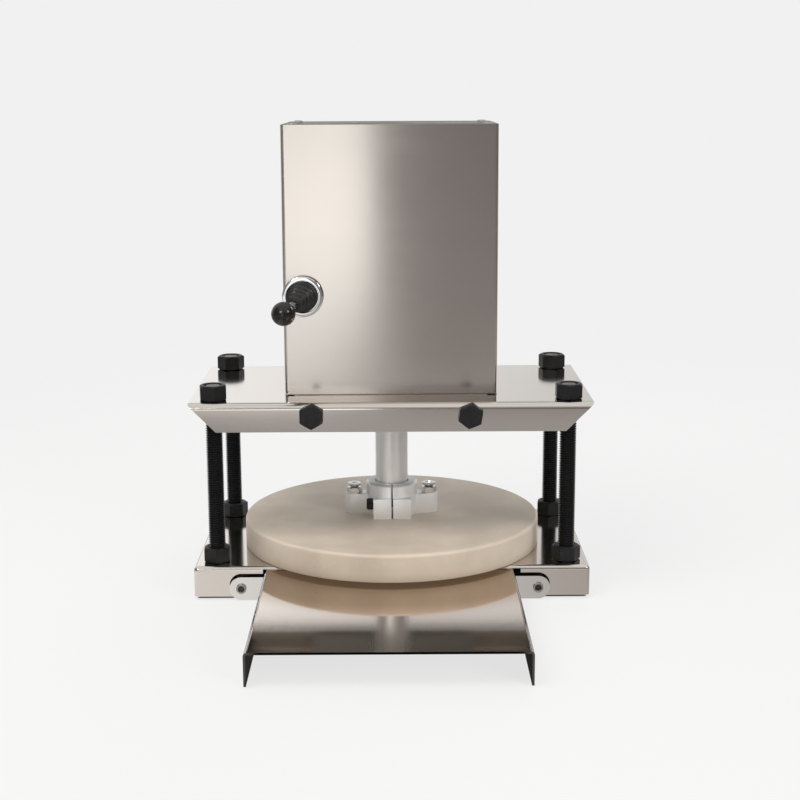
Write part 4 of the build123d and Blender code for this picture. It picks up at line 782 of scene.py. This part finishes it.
def threaded_bar(name, length):
    """A right-hand threaded bar standing on z = 0."""
    depth = CREST_R - ROOT_R
    bar = drawn(name, [(ROOT_R + rise * depth, (share - 1) * PITCH) for share, rise in TOOTH])
    thread = bar.modifiers.new("thread", "SCREW")
    thread.axis, thread.screw_offset, thread.iterations = "Z", PITCH, math.ceil(length / PITCH) + 2
    thread.steps = thread.render_steps = THREAD_STEPS
    only(bar)
    bpy.ops.object.modifier_apply(modifier=thread.name)
    closed_up(bar)
    for end, way in (((0, 0, 0), (0, 0, -1)), ((0, 0, length), (0, 0, 1))):
        with editing(bar):
            bpy.ops.mesh.bisect(plane_co=end, plane_no=way, use_fill=True, clear_outer=True)
    closed_up(bar)
    inner, outer = CREST_R - POST_BEVEL, CREST_R + POST_SPARE
    low = [(0, -POST_SPARE), (inner - POST_SPARE, -POST_SPARE), (outer, POST_BEVEL + POST_SPARE)]
    high = [(r, length - z) for r, z in reversed(low)]
    cut(bar, turned("envelope", low + high, 48), "INTERSECT")
    return bar


post_boxes = {post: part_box("rod_" + post) for post in POSTS}
post_axes = {post: ((low + high) / 2).to_2d() for post, (low, high) in post_boxes.items()}
post_foot, post_head = (corner.z for corner in post_boxes[POSTS[0]])
bar_places = {"post_" + post: at(*post_axes[post], post_foot, turn=math.radians(turn))
              for post, turn in zip(POSTS, POST_TURNS)}
for post, bar in zip(POSTS, copies(threaded_bar("post", post_head - post_foot), bar_places)):
    settle(bar, "frame", "black_oxide", "rod_" + post, sharp=25, finish="black_thread")

# %% [markdown]
# ## Hexagon nuts
# A real nut is a hexagonal bar whose corners are turned off by a cone, which leaves a curved line on each
# flat. Scaling the end faces would give straight lines, so the hexagon is intersected with a turned barrel
# instead. Each nut keeps the angle that the spanner left it at, and thin lock nuts sit under both plates.

# %% Hexagon nuts
NUT_TURNS = {  # in the order of the posts
    "upper_nuts": (40.0, 30.0, 12.0, -17.0),
    "plate_lock_nuts": (10.0, 35.0, 0.0, 0.0),
    "lower_nuts": (30.0, 0.0, 12.0, 20.0),
    "base_lock_nuts": (10.0, 35.0, 0.0, 0.0),
}
NUT_AF, BORE_R, COUNTERSINK = 18.0 * MM, 6.05 * MM, 0.9 * MM
CORNER_SHARE, FACE_SHARE = 0.62, 0.47  # of the width across flats
CONE = math.tan(math.radians(30))
SOFT_EDGE, TAP_SPARE = 0.18 * MM, 0.5 * MM


def hexagon(name, across_flats, foot, top):
    """A six-sided bar with corners on X."""
    bar = added(name, bpy.ops.mesh.primitive_cylinder_add, vertices=6, radius=across_flats / math.sqrt(3),
                depth=top - foot, location=(0, 0, (foot + top) / 2), rotation=(0, 0, math.pi / 6))
    bpy.ops.object.transform_apply(location=True, rotation=True, scale=True)
    return bar


def chamfered(bar, across_flats, foot, top, both=True):
    """Turns the corners off the top of a hexagon, and off its foot."""
    corner, face = CORNER_SHARE * across_flats, FACE_SHARE * across_flats
    drop = (corner - face) * CONE
    low = [(0, foot), (face, foot), (corner, foot + drop)] if both else [(0, foot), (corner, foot)]
    barrel = turned("barrel", low + [(corner, top - drop), (face, top), (0, top)], 72)
    cut(bar, barrel, "INTERSECT")


def hex_nut(name, across_flats, height, bore, sink):
    """A nut standing on z = 0, with its bore countersunk at both ends."""
    nut = hexagon(name, across_flats, 0, height)
    chamfered(nut, across_flats, 0, height)
    low = [(0, -TAP_SPARE), (bore + sink + TAP_SPARE, -TAP_SPARE), (bore, sink)]
    high = [(r, height - z) for r, z in reversed(low)]
    cut(nut, turned("tap", low + high, 48))
    return nut


for node, turns in NUT_TURNS.items():
    low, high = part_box(node)
    nut = hex_nut(node, NUT_AF, high.z - low.z, BORE_R, COUNTERSINK)
    softened(nut, SOFT_EDGE)
    nut_places = {f"{node}_{post}": at(*post_axes[post], low.z, turn=math.radians(turn))
                  for post, turn in zip(POSTS, turns)}
    for made in copies(nut, nut_places):
        settle(made, "frame", "black_oxide", node, sharp=25)

# %% [markdown]
# ## Crosshead bolts
# Two hexagon bolts come through the front skirt of the top plate and two through the rear one, into the bar
# that guides the ram. The head is made as the nuts are, but it is turned off on its outer face only and
# stands on a thin washer face, which comes with the shank in one turned piece.

# %% Crosshead bolts
BOLT_AF, BOLT_HEAD, BOLT_R, BOLT_LENGTH = 16.0 * MM, 6.4 * MM, 5.0 * MM, 24.0 * MM
BOLT_X, BOLT_Z = 55.6 * MM, 134.9 * MM
BOLT_TURNS = {-1: math.radians(30.0), 1: math.radians(22.0)}  # left and right
BOLT_BEVEL, WASHER_FACE, HEAD_OVERLAP = 1.0 * MM, 0.5 * MM, 0.1 * MM
SIDES = {-1: "left", 1: "right"}


def hex_bolt(name):
    """A bolt with the seat of its head on z = 0."""
    bolt = hexagon(name, BOLT_AF, WASHER_FACE, BOLT_HEAD)
    chamfered(bolt, BOLT_AF, WASHER_FACE, BOLT_HEAD, both=False)
    washer, inset = FACE_SHARE * BOLT_AF, WASHER_FACE + HEAD_OVERLAP
    shank = [(0, -BOLT_LENGTH), (BOLT_R - BOLT_BEVEL, -BOLT_LENGTH), (BOLT_R, BOLT_BEVEL - BOLT_LENGTH),
             (BOLT_R, 0), (washer, 0), (washer, inset), (0, inset)]
    cut(bolt, turned("shank", shank, 48), "UNION")
    softened(bolt, SOFT_EDGE)
    return bolt


plate_low, plate_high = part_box("top_plate")
skirts = {"front": plate_low.y, "rear": plate_high.y}
bolt_places = {f"crosshead_bolt_{face}_{word}": at(side * BOLT_X, y, BOLT_Z, face, BOLT_TURNS[side])
               for face, y in skirts.items() for side, word in SIDES.items()}
for bolt in copies(hex_bolt("crosshead_bolt"), bolt_places):
    settle(bolt, "frame", "black_oxide", "crosshead_bolts", sharp=25)

# %% [markdown]
# ## Screws and nuts of the hub
# Two plated screws hold the hub to the disc. Each has a flat, countersunk head that stands on a nut, with a
# cross recess. A recess could be painted on as a dark cross, but it is seen from above, so it is cut, with
# two bars that taper downwards as a driver's tip does.

# %% Screws and nuts of the hub
HUB_TURN, HUB_REACH = math.radians(1.0), 28.0 * MM
HUB_HEAD_R, HUB_SHANK_R, HUB_RIM, HUB_HEAD_BEVEL = 5.3 * MM, 2.95 * MM, 0.8 * MM, 0.25 * MM
HUB_SCREW_TURNS = {-1: 1.2, 1: -0.2}  # radians, as the driver left them
HUB_RECESS = 3.2 * MM, 1.4 * MM, 2.2 * MM  # reach, width and depth
HUB_NUT_AF, HUB_NUT_BORE_R, SMALL_SINK, SMALL_EDGE = 10.0 * MM, 3.0 * MM, 0.4 * MM, 0.12 * MM
RECESS_TAPER = (0.45, 0.75, 1)


def cross_recess(screw, top, reach, width, depth):
    """Cuts a tapering cross into the top of a screw."""
    for angle in (0, math.pi / 2):
        bar = added("recess", bpy.ops.mesh.primitive_cube_add, size=2, location=(0, 0, top),
                    scale=(reach, width / 2, depth))
        bpy.ops.object.transform_apply(location=True, rotation=True, scale=True)
        with editing(bar, lambda vertex: vertex.co.z < top):
            bpy.ops.transform.resize(value=RECESS_TAPER, center_override=(0, 0, top))
        put(bar, Matrix.Rotation(angle, 4, "Z"))
        cut(screw, bar)


def hub_screw(name, tip, seat, top):
    outline = [(0, tip), (HUB_SHANK_R, tip), (HUB_SHANK_R, seat), (HUB_HEAD_R, top - HUB_RIM),
               (HUB_HEAD_R, top - HUB_HEAD_BEVEL), (HUB_HEAD_R - HUB_HEAD_BEVEL, top), (0, top)]
    screw = turned(name, outline, 48)
    cross_recess(screw, top, *HUB_RECESS)
    return screw


screw_low, screw_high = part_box("hub_screws")
nut_low, nut_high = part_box("hub_nuts")
hub_frame = at(*DISC_AXIS.xy, 0, turn=HUB_TURN)
hub_spots = {side: hub_frame @ Matrix.Translation((side * HUB_REACH, 0, 0)) for side in SIDES}
screw_places = {f"hub_screw_{SIDES[side]}": spot @ Matrix.Rotation(HUB_SCREW_TURNS[side], 4, "Z")
                for side, spot in hub_spots.items()}
for screw in copies(hub_screw("hub_screw", screw_low.z, nut_high.z, screw_high.z), screw_places):
    settle(screw, "press", "bright_zinc", "hub_screws")

hub_nut = hex_nut("hub_nut", HUB_NUT_AF, nut_high.z - nut_low.z, HUB_NUT_BORE_R, SMALL_SINK)
softened(hub_nut, SMALL_EDGE)
nut_places = {f"hub_nut_{SIDES[side]}": spot @ Matrix.Translation((0, 0, nut_low.z))
              for side, spot in hub_spots.items()}
for made in copies(hub_nut, nut_places):
    settle(made, "press", "bright_zinc", "hub_nuts", sharp=25)

# %% [markdown]
# ## Pan-head screws of the housing
# The covers and the mains inlet are held by small pan-head screws. A sphere could be squashed into the head,
# but a pan head has a straight side below its dome, so it is turned too, with a few points for the dome. No
# two screws stop at the same angle, so each place has its own turn.

# %% Pan-head screws of the housing
COVER_SCREW = (3.3 * MM, 1.1 * MM, 2.0 * MM, 6.0 * MM)  # head radius and height, shank radius and length
INLET_SCREW = (2.7 * MM, 1.8 * MM, 1.5 * MM, 6.0 * MM)
SCREW_POINT = ((0, 0), (0.6, 0), (1, 0.5))  # shares of the shank's radius
DOME = ((1, 0), (1, 0.45), (0.93, 0.72), (0.78, 0.89), (0.5, 0.98), (0, 1))  # shares of the head
PAN_RECESS, PAN_RECESS_DEPTH = (0.55, 0.28), 0.55  # shares of the head's radius, and of its height
COVER_X, TOP_SCREW_Y, REAR_SCREW_Z = 68.8 * MM, (40.75 * MM, 111.75 * MM), (163.2 * MM, 313.8 * MM)
INLET_AXIS, INLET_SCREW_X = Vector((-33.0, 0, 175.2)) * MM, 20.0 * MM


def pan_screw(name, head_r, head_h, shank_r, length):
    """A pan-head screw with its seat on z = 0."""
    shank = [(r * shank_r, z * shank_r - length) for r, z in SCREW_POINT] + [(shank_r, 0)]
    screw = turned(name, shank + [(r * head_r, z * head_h) for r, z in DOME], 48)
    reach, width = (share * head_r for share in PAN_RECESS)
    cross_recess(screw, head_h, reach, width, PAN_RECESS_DEPTH * head_h)
    return screw


box_high, inlet_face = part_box("housing_wrap")[1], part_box("power_inlet")[1].y
cover_places, inlet_places = {}, {}
for side, word in SIDES.items():
    for number, (y, z) in enumerate(zip(TOP_SCREW_Y, REAR_SCREW_Z)):
        x, twist = side * COVER_X, 0.9 * number + 0.4 * side
        cover_places[f"top_screw_{word}_{number}"] = at(x, y, box_high.z, turn=twist)
        cover_places[f"rear_screw_{word}_{number}"] = at(x, box_high.y, z, "rear", twist)
    x = INLET_AXIS.x + side * INLET_SCREW_X
    inlet_places[f"inlet_screw_{word}"] = at(x, inlet_face, INLET_AXIS.z, "rear", 0.6 + side)
for screw in copies(pan_screw("cover_screw", *COVER_SCREW), cover_places):
    settle(screw, "frame", "bright_zinc", "cover_screws")
for screw in copies(pan_screw("inlet_screw", *INLET_SCREW), inlet_places):
    settle(screw, "frame", "bright_zinc", "inlet_screws")

# %% [markdown]
# ## Clamp screw
# A black cap screw pulls the slit hub together on the ram. It is turned, and its hexagon socket is cut. Its
# head has a straight knurl, which could be a bump in the finish, but its outline shows, so every second edge
# round the head is pulled in a little.

# %% Clamp screw
CLAMP_HEAD_R, CLAMP_HEAD, CLAMP_R, CLAMP_LENGTH = 4.25 * MM, 5.0 * MM, 2.45 * MM, 26.0 * MM
CLAMP_RIM, CLAMP_SOCKET, CLAMP_DEPTH = 0.4 * MM, 4.0 * MM, 2.5 * MM
CLAMP_SEAT = Vector((-14.0, -17.6, 55.5)) * MM  # from the axis of the hub
KNURL, KNURL_EDGES = 0.94, 72


def knurled(vertex):
    """True on every second edge round the head."""
    edge = round(math.atan2(vertex.co.y, vertex.co.x) / (2 * math.pi) * KNURL_EDGES)
    return vertex.co.to_2d().length > CLAMP_HEAD_R - CLAMP_RIM / 2 and edge % 2 == 0


def clamp_screw(name):
    outline = [(0, -CLAMP_LENGTH), (CLAMP_R, -CLAMP_LENGTH), (CLAMP_R, 0), (CLAMP_HEAD_R - CLAMP_RIM, 0),
               (CLAMP_HEAD_R, CLAMP_RIM), (CLAMP_HEAD_R, CLAMP_HEAD - 2 * CLAMP_RIM),
               (CLAMP_HEAD_R - 2 * CLAMP_RIM, CLAMP_HEAD), (0, CLAMP_HEAD)]
    screw = turned(name, outline, KNURL_EDGES)
    with editing(screw, knurled):
        bpy.ops.transform.resize(value=(KNURL, KNURL, 1), center_override=(0, 0, 0))
    cut(screw, hexagon("socket", CLAMP_SOCKET, CLAMP_HEAD - CLAMP_DEPTH, CLAMP_HEAD + MM))
    return screw


clamp = clamp_screw("clamp_screw_black")
put(clamp, hub_frame @ Matrix.Translation(CLAMP_SEAT) @ Matrix.Rotation(-math.pi / 2, 4, "Y"))
settle(clamp, "press", "black_oxide", "clamp_screw", sharp=20)

# %% [markdown]
# ## Ear screws and nuts of the tray
# A low screw with a round socket holds each ear of the tray, with a small nut behind the base's skirt. The
# socket could be cut, but it is round, so it is part of the turned outline. The plating has gone dull and shade
# is painted into the socket, so these screws have a finish of their own, which darkens towards the screw's
# axis.

# %% Ear screws and nuts of the tray
EAR_X, EAR_Z, EAR_SHEET = {-1: -107.5 * MM, 1: 104.5 * MM}, 8.9 * MM, 1.5 * MM
EAR_HEAD_R, EAR_HEAD, EAR_R, EAR_GRIP = 3.6 * MM, 1.8 * MM, 2.45 * MM, 7.5 * MM
EAR_SOCKET_R, EAR_SOCKET, EAR_RIM = 2.3 * MM, 1.6 * MM, 0.35 * MM
EAR_NUT_AF, EAR_NUT_BORE_R = 8.0 * MM, 2.5 * MM
# Painted shade: the dark tone in the screw's round socket.
DULL_DARK, DULL_LIGHT, SOCKET_SHADE = (0.34, 0.32, 0.30), (0.46, 0.44, 0.42), (0.07, 0.062, 0.058)
SOCKET_SHADE_EDGE, PLATING_PER_M = (EAR_SOCKET_R - 0.3 * MM, EAR_SOCKET_R + 0.2 * MM), 500.0


def socket_shaded_zinc():
    """Dull plating with painted shade in the sockets, by the distance from the nearer screw's axis."""
    place = new_finish("socket_shaded_zinc", Metallic=1.0)
    fine = noise(place, PLATING_PER_M, detail=3.0)
    reach = along(place, 0) - (EAR_X[-1] + EAR_X[1]) / 2
    aside = reach.math("ABSOLUTE", reach) - (EAR_X[1] - EAR_X[-1]) / 2
    rise = along(place, 2) - EAR_Z
    from_axis = rise.math("SQRT", aside * aside + rise * rise)
    # Painted shade in the socket, near the screw's axis.
    socket_shade = 1 - step(from_axis, *SOCKET_SHADE_EDGE)
    colour = blended(socket_shade, between(fine, DULL_DARK, DULL_LIGHT), (*SOCKET_SHADE, 1))
    feed(place, Base_Color=colour, Roughness=0.3 + 0.3 * fine)


def ear_screw(name):
    floor_of_socket = EAR_HEAD - EAR_SOCKET
    outline = [(0, -EAR_GRIP), (EAR_R, -EAR_GRIP), (EAR_R, 0), (EAR_HEAD_R, 0),
               (EAR_HEAD_R, EAR_HEAD - EAR_RIM), (EAR_HEAD_R - EAR_RIM, EAR_HEAD),
               (EAR_SOCKET_R + EAR_RIM, EAR_HEAD), (EAR_SOCKET_R, EAR_HEAD - EAR_RIM),
               (EAR_SOCKET_R, floor_of_socket), (0, floor_of_socket)]
    return turned(name, outline, 48)


socket_shaded_zinc()
ear_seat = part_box("base_plate")[0].y - EAR_SHEET
ear_screw_places = {f"ear_screw_{word}": at(EAR_X[side], ear_seat, EAR_Z, "front")
                    for side, word in SIDES.items()}
for screw in copies(ear_screw("ear_screw"), ear_screw_places):
    settle(screw, "frame", "bright_zinc", "tray_screws", finish="socket_shaded_zinc")

ear_nut_low, ear_nut_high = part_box("tray_nuts")
ear_nut = hex_nut("ear_nut", EAR_NUT_AF, ear_nut_high.y - ear_nut_low.y, EAR_NUT_BORE_R, SMALL_SINK)
ear_nut_places = {f"ear_nut_{word}": at(EAR_X[side], ear_nut_low.y, EAR_Z, "rear")
                  for side, word in SIDES.items()}
for made in copies(ear_nut, ear_nut_places):
    settle(made, "frame", "bright_zinc", "tray_nuts", sharp=25)

# %% [markdown]
# ## Ring of the joystick
# A polished ring holds the joystick in the front panel. A torus would look too round, since the real ring has
# a flat face, a softly rounded outer edge and a sharp opening, so it is turned from its section. The lever
# leans to the lower left, so one matrix holds the joystick's place, with X along the lean.

# %% Ring of the joystick
JOYSTICK_SPOT = Vector((-61.9, 20.75, 214.6)) * MM
LEAN_TURN, LEVER_TILT, PIVOT_DEPTH = math.radians(207.0), math.radians(12.9), 0.8 * MM
JOYSTICK = at(*JOYSTICK_SPOT, "front", LEAN_TURN)
BEZEL_R, BEZEL_H, BEZEL_OPENING_R = 14.5 * MM, 5.0 * MM, 11.4 * MM
STEM_R, BEZEL_SEAT = 10.05 * MM, 2.6 * MM
BEZEL_EDGE = ((0, 0.8), (0.1, 0.4), (0.35, 0.12), (0.7, 0))  # mm in from the side, mm down from the face
BEZEL_FOOT, BEZEL_RIM = 0.3 * MM, 0.4 * MM

bezel_edge = [(BEZEL_R - aside * MM, BEZEL_H - down * MM) for aside, down in BEZEL_EDGE]
bezel_foot = [(STEM_R, 0), (BEZEL_R - BEZEL_FOOT, 0), (BEZEL_R, BEZEL_FOOT)]
bezel_opening = [(BEZEL_OPENING_R + BEZEL_RIM, BEZEL_H), (BEZEL_OPENING_R, BEZEL_H - BEZEL_RIM),
                 (BEZEL_OPENING_R, BEZEL_SEAT), (STEM_R, BEZEL_SEAT), (STEM_R, 0)]
bezel = turned("joystick_ring", bezel_foot + bezel_edge + bezel_opening, 96)
put(bezel, JOYSTICK)
settle(bezel, "frame", "chrome_ring", "joystick_bezel")

# %% [markdown]
# ## Rubber boot
# A stepped rubber boot closes the ring round the leaning lever. A lattice could bend it, but its rings are few,
# so it is spun straight, with five ribs that shrink towards the tip, and then each ring is shifted and turned a
# little further than the one before. It gets its finish, its place goes into its mesh, and it rides on no body.

# %% Rubber boot
RIBS, BOOT_BASE_R, BOOT_TIP_R, RIB_DEPTH, BOOT_WALL = 5, 11.0 * MM, 6.0 * MM, 1.5 * MM, 1.2 * MM
RIB_SHAPE = ((0.0, 0.0), (0.45, 0.0), (0.60, 1.0), (0.90, 1.0))  # share of a rib's height, share of its depth
BOOT_REACH, BOOT_BORE_R, BOOT_EDGE = 27.5 * MM, 3.08 * MM, 0.28 * MM


def straight_boot(tip):
    """The outline of the boot before it leans: ribs up the outside, a plain taper down the inside."""
    rib_height = (tip - BEZEL_SEAT) / (RIBS - 1 + RIB_SHAPE[-1][0])
    outside = []
    for rib in range(RIBS):
        crest = BOOT_BASE_R + (BOOT_TIP_R - BOOT_BASE_R) * rib / (RIBS - 1)
        outside += [(crest - depth * RIB_DEPTH, BEZEL_SEAT + (rib + rise) * rib_height)
                    for rise, depth in RIB_SHAPE]
    bore = BOOT_BASE_R - RIB_DEPTH - BOOT_WALL
    return outside + [(BOOT_BORE_R, tip), (bore, BEZEL_SEAT), outside[0]]


boot_tip = BOOT_REACH * math.cos(LEVER_TILT) - PIVOT_DEPTH
boot_lean = BOOT_REACH * math.sin(LEVER_TILT)
boot = turned("joystick_bellows", straight_boot(boot_tip), 64)
rings = sorted({round(vertex.co.z, 7) for vertex in boot.data.vertices})
members = {ring: {v.index for v in boot.data.vertices if abs(v.co.z - ring) < MM / 1000} for ring in rings}
for ring in rings:
    share = (ring - BEZEL_SEAT) / (boot_tip - BEZEL_SEAT)
    with editing(boot, lambda vertex: vertex.index in members[ring]):
        bpy.ops.transform.rotate(value=-LEVER_TILT * share, orient_axis="Y", center_override=(0, 0, ring))
        bpy.ops.transform.translate(value=(boot_lean * share, 0, 0))
softened(boot, BOOT_EDGE, segments=3, angle=25)
put(boot, JOYSTICK)
dress(boot, "black_rubber", "joystick_boot", sharp=40)
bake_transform(boot)

# %% [markdown]
# ## Hub
# The hub is a machined clamp with small broken edges, which catch the light as thin bright lines. Its CAD
# shape is right, but its edges are knife-sharp. A copy of the mesh is merged from loose triangles into whole
# faces, and only then bevelled, because a bevel needs edges that two faces share.

# %% Hub with broken edges
HUB_EDGE = 0.35 * MM

hub = bpy.data.objects.new("hub_block", frame["nodes"]["hub_clamp"].data.copy())
bpy.context.scene.collection.objects.link(hub)
only(hub)
bpy.ops.mesh.customdata_custom_splitnormals_clear()
with editing(hub):
    bpy.ops.mesh.remove_doubles(threshold=MM / 200)
    bpy.ops.mesh.dissolve_limited(angle_limit=math.radians(0.5))
softened(hub, HUB_EDGE, angle=35)
settle(hub, "press", "satin_aluminium", "hub_clamp", sharp=35, finish="darkened_aluminium")

# %% [markdown]
# ## Disc
# The disc is sawn from sheet and faced on a lathe. Its upper rim is rounded, but the lower one stays almost
# sharp, so that it cuts the dough cleanly and comes close to the tray. It is turned like the other round
# pieces, then drilled for the two screws of the hub.

# %% Disc
UPPER_ROUND, LOWER_ROUND, ROUND_STEPS = 2.5 * MM, 0.6 * MM, 6
DRILL_R, DRILL_SPARE = 3.0 * MM, 1.0 * MM


def quarter(centre_r, centre_z, radius, start):
    """Points on a quarter circle, from a start angle in degrees anticlockwise."""
    turns = [math.radians(start + 90 * number / ROUND_STEPS) for number in range(ROUND_STEPS + 1)]
    return [(centre_r + radius * math.cos(turn), centre_z + radius * math.sin(turn)) for turn in turns]


disc_low, disc_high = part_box("press_disc")
disc_r = (disc_high.x - disc_low.x) / 2
lower_rim = quarter(disc_r - LOWER_ROUND, disc_low.z + LOWER_ROUND, LOWER_ROUND, -90)
upper_rim = quarter(disc_r - UPPER_ROUND, disc_high.z - UPPER_ROUND, UPPER_ROUND, 0)
disc = turned("dough_disc", [(0, disc_low.z)] + lower_rim + upper_rim + [(0, disc_high.z)], 240)
put(disc, at(*DISC_AXIS.xy, 0))
foot, head = screw_low.z - DRILL_SPARE, disc_high.z + DRILL_SPARE
for spot in hub_spots.values():
    drill = turned("drill", [(0, foot), (DRILL_R, foot), (DRILL_R, head), (0, head)], 32)
    put(drill, spot)
    cut(disc, drill)
settle(disc, "press", "nylon", "press_disc")
